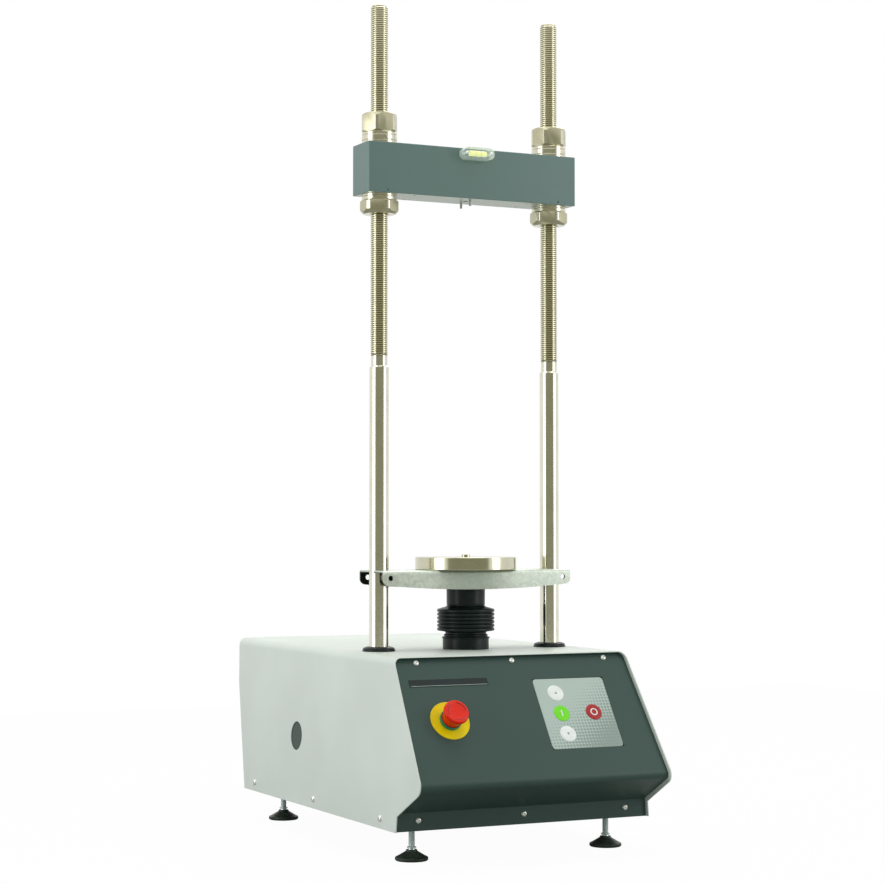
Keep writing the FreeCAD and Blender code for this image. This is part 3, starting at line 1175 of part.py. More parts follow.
def main():
    os.makedirs("parts", exist_ok=True)
    for name, shape in nodes().items():
        whole = Part.makeCompound(shape) if isinstance(shape, list) else shape
        whole.translate(Vec(0, COLUMN_Y, 0))
        whole.exportStep("parts/%s.step" % name)


main()
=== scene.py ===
"""Looks of the compression tester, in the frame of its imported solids.

Shapes are drawn in millimetres with Y measured from the column plane; piece() puts them in the frame.
"""
import math

import bmesh
import bpy
from mathutils import Matrix, Vector


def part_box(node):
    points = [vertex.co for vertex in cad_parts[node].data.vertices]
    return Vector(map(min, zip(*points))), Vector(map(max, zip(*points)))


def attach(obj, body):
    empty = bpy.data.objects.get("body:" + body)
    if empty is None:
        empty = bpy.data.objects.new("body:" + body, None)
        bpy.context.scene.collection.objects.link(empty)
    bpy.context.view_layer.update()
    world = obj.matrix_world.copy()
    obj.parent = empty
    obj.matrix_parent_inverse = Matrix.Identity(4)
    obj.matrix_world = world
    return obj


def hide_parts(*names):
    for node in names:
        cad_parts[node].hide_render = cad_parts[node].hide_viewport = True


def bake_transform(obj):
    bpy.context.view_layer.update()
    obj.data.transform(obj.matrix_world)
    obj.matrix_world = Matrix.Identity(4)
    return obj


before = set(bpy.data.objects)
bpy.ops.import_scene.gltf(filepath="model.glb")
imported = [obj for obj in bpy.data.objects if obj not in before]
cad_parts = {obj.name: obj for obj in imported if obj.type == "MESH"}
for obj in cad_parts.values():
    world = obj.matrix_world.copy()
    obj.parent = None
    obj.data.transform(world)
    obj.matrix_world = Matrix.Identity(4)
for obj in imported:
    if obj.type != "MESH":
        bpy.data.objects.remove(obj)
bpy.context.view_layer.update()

MM = 0.001
ROOT = "machine"

# Case
CASE_BOTTOM = 51.0
CASE_TOP = 315.0
CASE_HALF_BOTTOM = 225.0
CASE_HALF_TOP = 208.0
WALL = 2.0
BEND = 14.0
LIP_FRONT = 210.0
LIP_HIGH = 75.5
NOSE_FRONT = 294.0
NOSE_HIGH = 121.0
NOSE_RADIUS = 16.0
TOP_FRONT = 163.0
REAR_BOTTOM = 434.0
KNEE_REAR = 494.0
KNEE_HIGH = 236.0
REAR_TOP = 506.0
RECESS = 6.5
SHEET_FIT = 0.3
PANEL_TOP = 312.0
TOP_SCREW_X = 168.0
TOP_SCREW_DOWN = 8.0
LIP_SCREW_X = 183.5
LIP_SCREW_UP = 16.0
REAR_SCREW_DOWN = 8.5
SIDE_SCREW_UP = 15.3
SIDE_SCREW_FRONT = 152.0
SIDE_SCREW_PITCH = 268.0
SIDE_HOLE_RADIUS = 24.0
SIDE_HOLE_BACK = 207.0
SIDE_HOLE_UP = 112.0
M5_HEAD, M5_HEIGHT = 4.75, 2.8
M6_HEAD, M6_HEIGHT = 5.25, 3.3
M3_HEAD = 2.8

# Columns, beam and nuts
COLUMN_X = 158.0
COLUMN_RADIUS = 16.0
SHOULDER_Z = 777.0
UNDERCUT_RADIUS = 13.5
THREAD_LOW = SHOULDER_Z + 18.0
THREAD_RADIUS = 15.0
THREAD_CREST = 14.5
THREAD_ROOT = 13.7
THREAD_PITCH = 3.5
COLUMN_TOP = 1372.0
BEAM_Z = 1060.0
BEAM_TOP = 1143.0
BEAM_DEPTH = 66.0
NUT_BORE = 15.08
COLLAR_RADIUS = 29.0
UPPER_STEP = 19.5
UPPER_HEIGHT = 51.0
UPPER_RADIUS = 30.3
UPPER_FLATS = 55.0
LOWER_RING = 3.6
LOWER_STEP = 9.8
LOWER_HEX = 17.0
LOWER_HEIGHT = 32.0
LOWER_RADIUS = 31.8
LOWER_FLATS = 58.5
LOWER_NOSE = 26.0
NUT_TURNS = {"upper_left_nut": -2.0, "upper_right_nut": -8.0,
             "lower_left_nut": 30.0, "lower_right_nut": 27.0}
MARK_HEIGHTS = (512.0, 399.0)

# Ram, platen, bracket and bellows
PLATEN_TOP = 467.0
PLATEN_RADIUS = 84.0
PLATEN_THICKNESS = 21.0
BOSS_RADIUS = 7.0
BOSS_HEIGHT = 4.5
BRACKET_HALF = 172.0
BRACKET_DEPTH = 94.0
BRACKET_WALL = 4.0
BRACKET_MID_DROP = 31.5
BRACKET_END_DROP = 23.2
BRACKET_CORNER = 9.0
BRACKET_HOLE = 4.4
BRACKET_HOLE_DROP = 12.0
NOTCH_RADIUS = 16.6
TOP_COLLAR_RADIUS = 32.0
TOP_COLLAR_LOW = 387.0
TOP_COLLAR_TOP = 414.5
FOLD_RADIUS = 47.6
FOLD_ROOT = 41.0
FOLD_COUNT = 6
FOLD_PITCH = 6.14
FIRST_FOLD = 347.7
NECK_RADIUS = 34.0
NECK_TOP = 342.0
BASE_COLLAR_RADIUS = 38.3
BASE_COLLAR_TOP = 334.0

# Front panel items
STOP_X, STOP_DOWN, STOP_HOLE = -137.7, 112.0, 11.2
STOP_BORE, STOP_BARREL = 6.1, 10.9
KEYPAD_X, KEYPAD_DOWN = 90.0, 106.6
KEYPAD_WIDTH, KEYPAD_HEIGHT = 128.5, 126.5
KEY_COLUMN, KEY_ROW, KEY_RADIUS = 29.0, 36.7, 14.0
PLATE_X, PLATE_DOWN, PLATE_WIDTH, PLATE_HIGH = -121.3, 44.4, 135.5, 12.0
DOT_PITCH = 5.5

# Rear items
INLET_X, ROCKER_UP, ROCKER_PIVOT = 130.0, 89.0, -3.0

# Feet
FOOT_RADIUS = 26.0
FOOT_X, FOOT_FRONT, FOOT_REAR = 173.5, -158.5, 374.0

low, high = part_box("left_column")
COLUMN_Y = (low.y + high.y) / 2
TO_FRAME = Matrix.Translation((0, COLUMN_Y, 0)) @ Matrix.Scale(MM, 4)


# Shader maths
class Wire:
    """One socket of a shader tree. Arithmetic on wires adds Math nodes."""

    def __init__(self, tree, socket):
        self.tree = tree
        self.socket = socket

    def node(self, kind, out=0, **inputs):
        """Add any other node; an input's name is written with underscores for its spaces."""
        made = self.tree.nodes.new("ShaderNode" + kind)
        for key, value in inputs.items():
            self.plug(made.inputs[key.replace("_", " ")], value)
        return Wire(self.tree, made.outputs[out])

    def plug(self, socket, value):
        if isinstance(value, Wire):
            self.tree.links.new(value.socket, socket)
        else:
            socket.default_value = value

    def maths(self, operation, *others):
        made = self.tree.nodes.new("ShaderNodeMath")
        made.operation = operation
        for socket, value in zip(made.inputs, (self,) + others):
            self.plug(socket, value)
        return Wire(self.tree, made.outputs[0])

    def __add__(self, other):
        return self.maths("ADD", other)

    def __sub__(self, other):
        return self.maths("SUBTRACT", other)

    def __mul__(self, other):
        return self.maths("MULTIPLY", other)

    def __truediv__(self, other):
        return self.maths("DIVIDE", other)

    __radd__ = __add__
    __rmul__ = __mul__

    def __rsub__(self, other):
        return (self * -1) + other

    def step(self, start, end):
        """0 below start, 1 above end, smooth between; start may be the higher one."""
        made = self.tree.nodes.new("ShaderNodeMapRange")
        made.interpolation_type = "SMOOTHSTEP"
        for socket, value in zip(made.inputs, (self, start, end, 0.0, 1.0)):
            self.plug(socket, value)
        return Wire(self.tree, made.outputs[0])

    def tint(self, first, second):
        """Colour first where this wire is 0 and second where it is 1."""
        made = self.tree.nodes.new("ShaderNodeMix")
        made.data_type = "RGBA"
        self.plug(made.inputs[0], self)
        for socket, value in ((made.inputs[6], first), (made.inputs[7], second)):
            self.plug(socket, value if isinstance(value, Wire) else (*value, 1))
        return Wire(self.tree, made.outputs[2])


class Surface:
    """A material with a Principled shader and the object's own coordinates, in metres."""

    def __init__(self, name, color, roughness=0.5, metallic=0.0, **constants):
        self.material = bpy.data.materials.new(name)
        self.material.use_nodes = True
        self.tree = self.material.node_tree
        self.shader = self.tree.nodes["Principled BSDF"]
        self.set("Base Color", (*color, 1))
        self.set("Roughness", roughness)
        self.set("Metallic", metallic)
        for key, value in constants.items():
            self.set(key.replace("_", " "), value)
        coordinates = self.tree.nodes.new("ShaderNodeTexCoord")
        self.place = Wire(self.tree, coordinates.outputs["Object"])
        split = self.tree.nodes.new("ShaderNodeSeparateXYZ")
        self.tree.links.new(self.place.socket, split.inputs[0])
        self.x, self.y, self.z = (Wire(self.tree, socket) for socket in split.outputs)
        self.relief = None

    def set(self, name, value):
        socket = self.shader.inputs[name]
        if isinstance(value, Wire):
            self.tree.links.new(value.socket, socket)
        else:
            socket.default_value = value

    def stretched(self, x=1.0, y=1.0, z=1.0):
        return self.place.node("Mapping", Vector=self.place, Scale=(x, y, z))

    def noise(self, scale, detail=2.0, place=None, rough=0.5):
        return self.place.node("TexNoise", Vector=place or self.place, Scale=scale, Detail=detail,
                               Roughness=rough)

    def cells(self, scale):
        """Random colour of each cell."""
        return self.place.node("TexVoronoi", out="Color", Vector=self.place, Scale=scale)

    def bump(self, height, distance, strength=1.0):
        inputs = {"Height": height, "Distance": distance, "Strength": strength}
        if self.relief:
            inputs["Normal"] = self.relief
        self.relief = self.place.node("Bump", **inputs)
        self.set("Normal", self.relief)


def rgb(red, green, blue):
    """Linear colour from the 0-255 values that a screen shows."""
    out = []
    for value in (red, green, blue):
        share = value / 255
        out.append(share / 12.92 if share <= 0.04045 else ((share + 0.055) / 1.055) ** 2.4)
    return tuple(out)


def shaded(color, factor):
    return tuple(value * factor for value in color)


# Directions of the case's sloping faces, and matrices that put a flat drawing on them
def unit_yz(y, z):
    return Vector((0, y, z)).normalized()


slope = unit_yz(NOSE_FRONT - TOP_FRONT, CASE_TOP - NOSE_HIGH)
slope_out = Vector((1, 0, 0)).cross(slope)
SLOPE_ORIGIN = Vector((0, -TOP_FRONT, CASE_TOP)) - slope_out * RECESS
rear_up = unit_yz(KNEE_REAR - REAR_BOTTOM, KNEE_HIGH - CASE_BOTTOM)
REAR_ORIGIN = Vector((0, REAR_BOTTOM, CASE_BOTTOM)) - Vector((-1, 0, 0)).cross(rear_up) * RECESS
rear_top_up = unit_yz(REAR_TOP - KNEE_REAR, CASE_TOP - KNEE_HIGH)
REAR_TOP_ORIGIN = Vector((0, REAR_TOP, CASE_TOP)) - Vector((-1, 0, 0)).cross(rear_top_up) * RECESS
LEAN = math.atan2(CASE_HALF_BOTTOM - CASE_HALF_TOP, CASE_TOP - CASE_BOTTOM)


def half_width(z):
    return CASE_HALF_BOTTOM - math.tan(LEAN) * (z - CASE_BOTTOM)


def facing(origin, x_dir=(1, 0, 0), y_dir=(0, 0, 1)):
    """Matrix for a drawing whose X, Y and outward Z lie along these directions; it faces front unless told."""
    x_dir, y_dir = Vector(x_dir), Vector(y_dir)
    out = Matrix((x_dir, y_dir, x_dir.cross(y_dir))).transposed().to_4x4()
    out.translation = Vector(origin)
    return out


def on_slope(x, down):
    return facing(SLOPE_ORIGIN + Vector((x, 0, 0)) - slope * down, (1, 0, 0), slope)


def on_lip(x, up):
    return facing((x, -LIP_FRONT + RECESS, CASE_BOTTOM + up))


def on_rear(x, up):
    return facing(REAR_ORIGIN + Vector((x, 0, 0)) + rear_up * up, (-1, 0, 0), rear_up)


def on_rear_top(x, down):
    return facing(REAR_TOP_ORIGIN + Vector((x, 0, 0)) - rear_top_up * down, (-1, 0, 0), rear_top_up)


def on_side(side, back, up):
    origin = (side * half_width(CASE_BOTTOM + up), back, CASE_BOTTOM + up)
    return facing(origin, (0, side, 0), (-side * math.sin(LEAN), 0, math.cos(LEAN)))


# Mesh helpers
def filleted(points, closed=False, steps=5):
    """2-D points (a, b) or (a, b, fillet radius) with their corners rounded."""
    count = len(points)
    out = []
    for i, point in enumerate(points):
        corner = Vector(point[:2])
        radius = point[2] if len(point) > 2 else 0
        if radius <= 0 or (not closed and i in (0, count - 1)):
            out.append(corner)
            continue
        back = Vector(points[i - 1][:2]) - corner
        ahead = Vector(points[(i + 1) % count][:2]) - corner
        half = back.angle(ahead) / 2
        reach = min(radius / math.tan(half), back.length * 0.49, ahead.length * 0.49)
        radius = reach * math.tan(half)
        first, last = corner + back.normalized() * reach, corner + ahead.normalized() * reach
        centre = corner + (back.normalized() + ahead.normalized()).normalized() * (radius / math.sin(half))
        for k in range(steps + 1):
            share = k / steps
            direction = (first - centre).lerp(last - centre, share)
            out.append(centre + direction.normalized() * radius)
    return out


def weave(bm, first, second, closed=True):
    """Quads between two rows of vertices."""
    count = len(first)
    for k in range(count if closed else count - 1):
        ahead = (k + 1) % count
        bm.faces.new((first[k], first[ahead], second[ahead], second[k]))


def sheet(rows):
    """Closed sheet from its four edge lines, given as rows of points in order round its section."""
    bm = bmesh.new()
    rows = [[bm.verts.new(point) for point in row] for row in rows]
    for first, second in zip(rows, rows[1:] + rows[:1]):
        weave(bm, first, second, False)
    for end in (0, -1):
        bm.faces.new([row[end] for row in rows])
    return bm


def lathe(profile, steps=96):
    """Turn (radius, height) points about Z. A profile that leaves the axis free is closed in a loop."""
    bm = bmesh.new()
    rings = []
    for r, z in profile:
        if r < 1e-6:
            rings.append([bm.verts.new((0, 0, z))])
            continue
        rings.append([bm.verts.new((r * math.cos(a), r * math.sin(a), z))
                      for a in (2 * math.pi * k / steps for k in range(steps))])
    pairs = list(zip(rings, rings[1:]))
    if len(rings[0]) > 1 and len(rings[-1]) > 1:
        pairs.append((rings[-1], rings[0]))
    for first, second in pairs:
        if len(first) == len(second) == steps:
            weave(bm, first, second)
        elif len(first) != len(second):
            tip, ring = (first[0], second) if len(first) == 1 else (second[0], first)
            for k in range(steps):
                bm.faces.new((tip, ring[k], ring[(k + 1) % steps]))
    return bm


def held(profile, closed, reach=0.4):
    """Extra points near the ends of long straight stretches, which keep their shading straight."""
    out = []
    ends = list(zip(profile, profile[1:] + profile[:1])) if closed else list(zip(profile, profile[1:]))
    for a, b in ends:
        out.append(a)
        length = (b - a).length
        if length > 4 * reach:
            out += [a.lerp(b, reach / length), b.lerp(a, reach / length)]
    return out if closed else out + [profile[-1]]


def turned(points, steps=96):
    """Lathe a profile given with fillets."""
    free = points[0][0] > 1e-6 and points[-1][0] > 1e-6
    return lathe([tuple(p) for p in held(filleted(points, closed=free), free)], steps)


def prism(outline, bottom, top):
    """Closed 2-D outline in X and Y, from bottom to top in Z."""
    bm = bmesh.new()
    below = [bm.verts.new((x, y, bottom)) for x, y in outline]
    above = [bm.verts.new((x, y, top)) for x, y in outline]
    bm.faces.new(list(reversed(below)))
    bm.faces.new(above)
    weave(bm, below, above)
    return bm


def rectangle(width, height, corner, steps=6):
    w, h = width / 2, height / 2
    return filleted([(-w, -h, corner), (w, -h, corner), (w, h, corner), (-w, h, corner)], True, steps)


def polygon(sides, flats, turn=0.0):
    reach = flats / 2 / math.cos(math.pi / sides)
    angles = (math.radians(turn) + 2 * math.pi * k / sides for k in range(sides))
    return [Vector((reach * math.cos(a), reach * math.sin(a))) for a in angles]


def circle(radius, steps=48):
    return [Vector((radius * math.cos(a), radius * math.sin(a)))
            for a in (2 * math.pi * k / steps for k in range(steps))]


def soften(bm, width, angle, segments=2):
    """Bevel every edge sharper than the angle."""
    bmesh.ops.recalc_face_normals(bm, faces=bm.faces)
    sharp = [e for e in bm.edges if len(e.link_faces) == 2 and e.calc_face_angle(0) > math.radians(angle)]
    bmesh.ops.bevel(bm, geom=sharp, offset=width, offset_type="OFFSET", segments=segments, profile=0.5,
                    affect="EDGES", clamp_overlap=True, material=-1)
    return bm


def mesh_from(bm, name):
    """Mesh data of a bmesh, which is freed."""
    mesh = bpy.data.meshes.new(name)
    bm.to_mesh(mesh)
    bm.free()
    return mesh


def add_object(name, data):
    obj = bpy.data.objects.new(name, data)
    bpy.context.scene.collection.objects.link(obj)
    return obj


def solid(bm):
    bmesh.ops.recalc_face_normals(bm, faces=bm.faces)
    return add_object("scratch", mesh_from(bm, "scratch"))


def carve(bm, cutters):
    """One closed mesh with others cut away."""
    obj = solid(bm)
    tools = [solid(cutter) for cutter in cutters]
    for tool in tools:
        modifier = obj.modifiers.new("cut", "BOOLEAN")
        modifier.operation = "DIFFERENCE"
        modifier.solver = "EXACT"
        modifier.object = tool
    graph = bpy.context.evaluated_depsgraph_get()
    out = bmesh.new()
    out.from_mesh(obj.evaluated_get(graph).to_mesh())
    for scratch in [obj] + tools:
        mesh = scratch.data
        bpy.data.objects.remove(scratch)
        bpy.data.meshes.remove(mesh)
    bmesh.ops.remove_doubles(out, verts=out.verts, dist=1e-4)
    return out


def joined(bms):
    """Several meshes in one."""
    out = bmesh.new()
    for bm in bms:
        mesh = mesh_from(bm, "part")
        out.from_mesh(mesh)
        bpy.data.meshes.remove(mesh)
    return out


def moved(bm, matrix):
    bm.transform(matrix)
    return bm


def shift(x=0.0, y=0.0, z=0.0):
    return Matrix.Translation((x, y, z))


def piece(name, bm, surface, body, replaces=(), smooth=20.0):
    """Finish a mesh drawn in millimetres as a named piece that rides on a body."""
    bmesh.ops.recalc_face_normals(bm, faces=bm.faces)
    bm.transform(TO_FRAME)
    mesh = mesh_from(bm, name)
    mesh.polygons.foreach_set("use_smooth", [True] * len(mesh.polygons))
    mesh.set_sharp_from_angle(angle=math.radians(smooth))
    mesh.materials.append(surface.material)
    obj = add_object(name, mesh)
    if body:
        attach(obj, body)
    if replaces:
        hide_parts(*replaces)
    return obj


# Surfaces
def powder_coat(name, color, roughness=0.46, grain=1.0, gloss=0.5):
    """Fine textured powder coat with faint unevenness."""
    s = Surface(name, color, roughness, Specular_IOR_Level=gloss)
    cloud = s.noise(5.0, 3.0)
    fine = s.noise(1100.0, 3.0)
    mottle = (cloud * 0.7 + fine * 0.3).step(0.3, 0.7)
    s.set("Base Color", mottle.tint(shaded(color, 0.95), shaded(color, 1.05)))
    s.set("Roughness", fine.step(0.3, 0.7) * 0.12 + (roughness - 0.06))
    s.bump(s.noise(700.0, 2.0), 0.00012 * grain, 0.55)
    return s


def nickel(name, color, roughness=0.16, rings=1600.0, stains=0.88):
    """Turned and nickel plated steel: fine rings round the axis, faint stains."""
    s = Surface(name, color, roughness, 1.0)
    turned_lines = s.noise(1.0, 2.0, s.stretched(8.0, 8.0, rings))
    stain = s.noise(38.0, 4.0, rough=0.65)
    s.color = stain.step(0.35, 0.8).tint(color, shaded(color, stains))
    s.set("Base Color", s.color)
    s.polish = turned_lines * 0.08 + stain * 0.06 + (roughness - 0.07)
    s.set("Roughness", s.polish)
    s.bump(turned_lines, 0.00002, 0.35)
    return s


def rubber(name, color, roughness=0.5, gloss=0.25):
    s = Surface(name, color, roughness, Specular_IOR_Level=gloss)
    dust = s.noise(60.0, 4.0)
    s.set("Base Color", dust.step(0.35, 0.8).tint(color, shaded(color, 1.9)))
    s.set("Roughness", dust * 0.2 + (roughness - 0.1))
    s.bump(s.noise(1500.0, 2.0), 0.00004, 0.4)
    return s


def plastic(name, color, roughness=0.3, **constants):
    s = Surface(name, color, roughness, **constants)
    mottle = s.noise(90.0, 3.0)
    s.set("Base Color", mottle.step(0.3, 0.7).tint(shaded(color, 0.96), shaded(color, 1.04)))
    s.set("Roughness", mottle * 0.1 + (roughness - 0.05))
    s.bump(s.noise(2200.0, 2.0), 0.00002, 0.25)
    return s


def sheet_zinc(name, color, roughness=0.42, spangle=140.0, rust_and_painted_shade=False):
    """Zinc coated sheet with crystal spangles; where asked, rust specks, painted shade on the channel's inner
    faces and a painted shadow under the bracket's middle.
    """
    s = Surface(name, color, roughness, 0.85)
    crystal = s.place.node("RGBToBW", Color=s.cells(spangle))
    fine = s.noise(420.0, 4.0, rough=0.7)
    base = (crystal * 0.5 + fine * 0.5).step(0.25, 0.75).tint(shaded(color, 0.90), shaded(color, 1.08))
    if rust_and_painted_shade:
        web, side = PLATEN_TOP - PLATEN_THICKNESS, BRACKET_DEPTH / 2
        low_edge = s.z.step((web - 16) * MM, (web - 29) * MM)
        speck = (s.noise(260.0, 5.0, rough=0.75) + low_edge * 0.05).step(0.62, 0.70)
        base = (speck * 0.7).tint(base, rgb(128, 108, 84))
        s.set("Metallic", speck.step(1.0, 0.0) * 0.85)
        # Painted shade: the channel's inner faces, under the web and inside the flanges, are darkened as if in
        # shadow.
        across = (s.y - COLUMN_Y).maths("ABSOLUTE").step((side - 1.5) * MM, (side - 2.5) * MM)
        under = s.z.step((web - 2) * MM, (web - 3) * MM)
        base = (across * under).tint(base, rgb(34, 38, 28))
        # Painted shadow: the bracket's middle, under the platen, is darkened.
        middle = (s.x + 0.012).maths("ABSOLUTE").step(0.09, 0.015)
        base = (middle * 0.6).tint(base, rgb(128, 140, 126))
    s.set("Base Color", base)
    s.set("Roughness", crystal * 0.15 + (roughness - 0.05))
    s.bump(fine, 0.00004, 0.4)
    return s


def machined(name, color, roughness=0.35, metallic=1.0):
    s = Surface(name, color, roughness, metallic)
    scratch = s.noise(1.0, 3.0, s.stretched(900.0, 40.0, 900.0))
    s.set("Base Color", scratch.step(0.3, 0.7).tint(shaded(color, 0.88), shaded(color, 1.08)))
    s.set("Roughness", scratch * 0.2 + (roughness - 0.1))
    s.bump(scratch, 0.00002, 0.4)
    return s


COVER_COLOR = rgb(218, 228, 220)
PANEL_COLOR = rgb(58, 81, 74)
BEAM_COLOR = rgb(99, 126, 120)
NICKEL_COLOR = rgb(223, 221, 205)
NUT_COLOR = rgb(216, 213, 193)
cover_paint = powder_coat("cover_paint", COVER_COLOR, 0.42)
panel_paint = powder_coat("panel_paint", PANEL_COLOR, 0.40, 1.3, 0.3)
inner_paint = powder_coat("black_paint", rgb(30, 32, 32), 0.5)
motor_paint = powder_coat("motor_paint", rgb(44, 47, 50), 0.42)
platen_nickel = nickel("platen_nickel", rgb(203, 201, 178), 0.16, 1200.0, 0.92)
ground_steel = machined("ground_steel", rgb(170, 172, 168), 0.3)
zinc = sheet_zinc("zinc_sheet", rgb(178, 182, 178))
galvanised = sheet_zinc("galvanised_sheet", rgb(200, 209, 197), 0.33, 210.0, rust_and_painted_shade=True)
screw_steel = machined("screw_steel", rgb(244, 247, 240), 0.26, 0.7)
stud_steel = machined("stud_steel", rgb(218, 234, 232), 0.3, 0.6)
iron = powder_coat("cast_iron", rgb(70, 74, 74), 0.55, 3.0)
bronze = machined("bronze", rgb(176, 140, 84), 0.32)
aluminium = machined("aluminium", rgb(190, 193, 195), 0.36)
black_rubber = rubber("black_rubber", rgb(9, 22, 20), 0.36)
foot_rubber = rubber("foot_rubber", rgb(36, 46, 38), 0.36, 0.45)
black_plastic = plastic("black_plastic", rgb(32, 34, 34), 0.42)
plug_plastic = plastic("plug_plastic", rgb(69, 81, 74), 0.5, Specular_IOR_Level=0.3)
yellow = plastic("stop_yellow", rgb(246, 222, 0), 0.42, Specular_IOR_Level=0.25)
green = plastic("stop_green", rgb(10, 138, 104), 0.35)
white_print = plastic("white_print", rgb(238, 240, 236), 0.4)
grey_print = plastic("grey_print", rgb(150, 158, 154), 0.45)
key_white = plastic("key_white", rgb(245, 252, 247), 0.38)
key_green = plastic("key_green", rgb(118, 234, 20), 0.38)
key_red = plastic("key_red", rgb(172, 24, 22), 0.38)
board = plastic("circuit_board", rgb(26, 92, 54), 0.45)
strip = plastic("plate_dark", rgb(26, 40, 38), 0.3, Specular_IOR_Level=0.3)
strip_edge = machined("plate_edge", rgb(190, 204, 196), 0.3)


def beam_surface():
    """Powder coat on the beam's sides, bare ground steel underneath."""
    s = powder_coat("beam_paint", BEAM_COLOR, 0.36)
    below = s.place.node("NewGeometry", out="Normal")
    split = s.tree.nodes.new("ShaderNodeSeparateXYZ")
    s.tree.links.new(below.socket, split.inputs[0])
    bare = Wire(s.tree, split.outputs[2]).step(-0.7, -0.9)
    coat = s.shader.inputs["Base Color"].links[0].from_socket
    s.set("Base Color", bare.tint(Wire(s.tree, coat), rgb(186, 196, 184)))
    s.set("Metallic", bare * 0.7)
    return s


def stop_red():
    """Red plastic with three arc grooves near the rim of the head, drawn as a bump and darkened with painted
    shade.
    """
    color = rgb(236, 34, 0)
    s = plastic("stop_red", color, 0.30, Specular_IOR_Level=0.35)
    centre = TO_FRAME @ on_slope(STOP_X, STOP_DOWN).translation
    across = s.x - centre.x
    up = (s.y - centre.y) * slope.y + (s.z - centre.z) * slope.z
    out = (s.y - centre.y) * slope_out.y + (s.z - centre.z) * slope_out.z
    radius = (across * across + up * up).maths("SQRT")
    turn = up.maths("ARCTAN2", across) * (3 / (2 * math.pi))
    share = (turn + 0.1).maths("FRACT")
    band = radius.step(0.0142, 0.0146) * radius.step(0.0158, 0.0154)
    arc = band * share.step(0.10, 0.13) * share.step(0.80, 0.77) * out.step(0.028, 0.029)
    # Painted shade: the arc grooves are darkened to 0.35 of the red.
    s.set("Base Color", arc.tint(color, shaded(color, 0.35)))
    s.bump(arc * -1, 0.0003, 0.8)
    return s


def overlay_film():
    """Printed film: a grid of dots that grow towards the lower right."""
    s = plastic("overlay_film", rgb(170, 188, 182), 0.36)
    centre = TO_FRAME @ on_slope(KEYPAD_X, KEYPAD_DOWN).translation
    across = (s.x - centre.x) / (DOT_PITCH * MM)
    up = ((s.y - centre.y) * slope.y + (s.z - centre.z) * slope.z) / (DOT_PITCH * MM)
    a = across.maths("FRACT") - 0.5
    b = up.maths("FRACT") - 0.5
    radius = (a * a + b * b).maths("SQRT")
    size = (across * 0.022 - up * 0.026 + 0.22).maths("MAXIMUM", 0.0).maths("MINIMUM", 0.62)
    dots = (radius - size).step(0.05, -0.05)
    s.set("Base Color", dots.tint(rgb(184, 203, 194), rgb(144, 162, 154)))
    return s


def column_distance(s):
    """Distance from the axis of the nearer column."""
    across = s.x.maths("ABSOLUTE") - COLUMN_X * MM
    back = s.y - COLUMN_Y
    return (across * across + back * back).maths("SQRT")


def column_surface():
    """Polished bar whose thread has painted shade between its crests and a painted highlight over the threaded
    part.
    """
    s = nickel("column_nickel", NICKEL_COLOR, 0.13)
    threaded = s.z.step(THREAD_LOW * MM, (THREAD_LOW + 1) * MM)
    # Painted shade: the thread roots are darkened.
    root_shade = column_distance(s).step(THREAD_CREST * MM, THREAD_ROOT * MM) * threaded
    # Painted highlight: the threaded part is lighter than the smooth bar.
    crest_highlight = threaded.tint(s.color, rgb(250, 248, 232))
    s.set("Base Color", (root_shade * 0.8).tint(crest_highlight, rgb(138, 133, 90)))
    return s


def nut_surface(name, radius, low, high):
    """Turned nickel with duller milled flats inside the turned radius."""
    s = nickel(name, NUT_COLOR, 0.16, 900.0)
    flat = column_distance(s).step((radius - 0.1) * MM, (radius - 0.3) * MM)
    flat = flat * s.z.step((low - 0.3) * MM, (low + 0.5) * MM) * s.z.step((high + 0.3) * MM, (high - 0.5) * MM)
    grain = s.noise(1500.0, 2.0, rough=0.8)
    milled = grain.step(0.3, 0.7).tint(rgb(172, 169, 141), rgb(194, 191, 163))
    s.set("Base Color", flat.tint(s.color, milled))
    s.set("Roughness", s.polish + flat * 0.16)
    return s


def clear_acrylic():
    # Painted glow: a faint green-white emission brightens the acrylic.
    s = Surface("clear_acrylic", rgb(240, 254, 244), 0.06, IOR=1.49, Emission_Color=(0.75, 0.9, 0.8, 1),
                Emission_Strength=0.12)
    s.set("Roughness", s.noise(300.0, 2.0) * 0.05 + 0.04)
    edge = s.place.node("LayerWeight", out="Facing", Blend=0.35)
    s.set("Alpha", edge * 0.6 + 0.28)
    return s


def vial_fluid():
    # Painted glow: a yellow emission brightens the fluid.
    s = Surface("vial_fluid", rgb(242, 236, 20), 0.1, Emission_Color=(*rgb(244, 236, 10), 1),
                Emission_Strength=0.55)
    s.set("Roughness", s.noise(300.0, 2.0) * 0.05 + 0.06)
    return s


# Case cover: section points with their own front and rear ends, so that its open edges follow the outline
def side_outline():
    front = filleted([(-LIP_FRONT, CASE_BOTTOM), (-LIP_FRONT, LIP_HIGH), (-NOSE_FRONT, NOSE_HIGH, NOSE_RADIUS),
                      (-TOP_FRONT, CASE_TOP)], steps=14)
    rear = [Vector((REAR_BOTTOM, CASE_BOTTOM)), Vector((KNEE_REAR, KNEE_HIGH)), Vector((REAR_TOP, CASE_TOP))]
    return front, rear


def reach_at(path, z):
    """Y of a rising outline at height z."""
    for a, b in zip(path, path[1:]):
        if a.y <= z <= b.y and b.y > a.y:
            return a.x + (b.x - a.x) * (z - a.y) / (b.y - a.y)
    return path[-1].x if z > path[-1].y else path[0].x


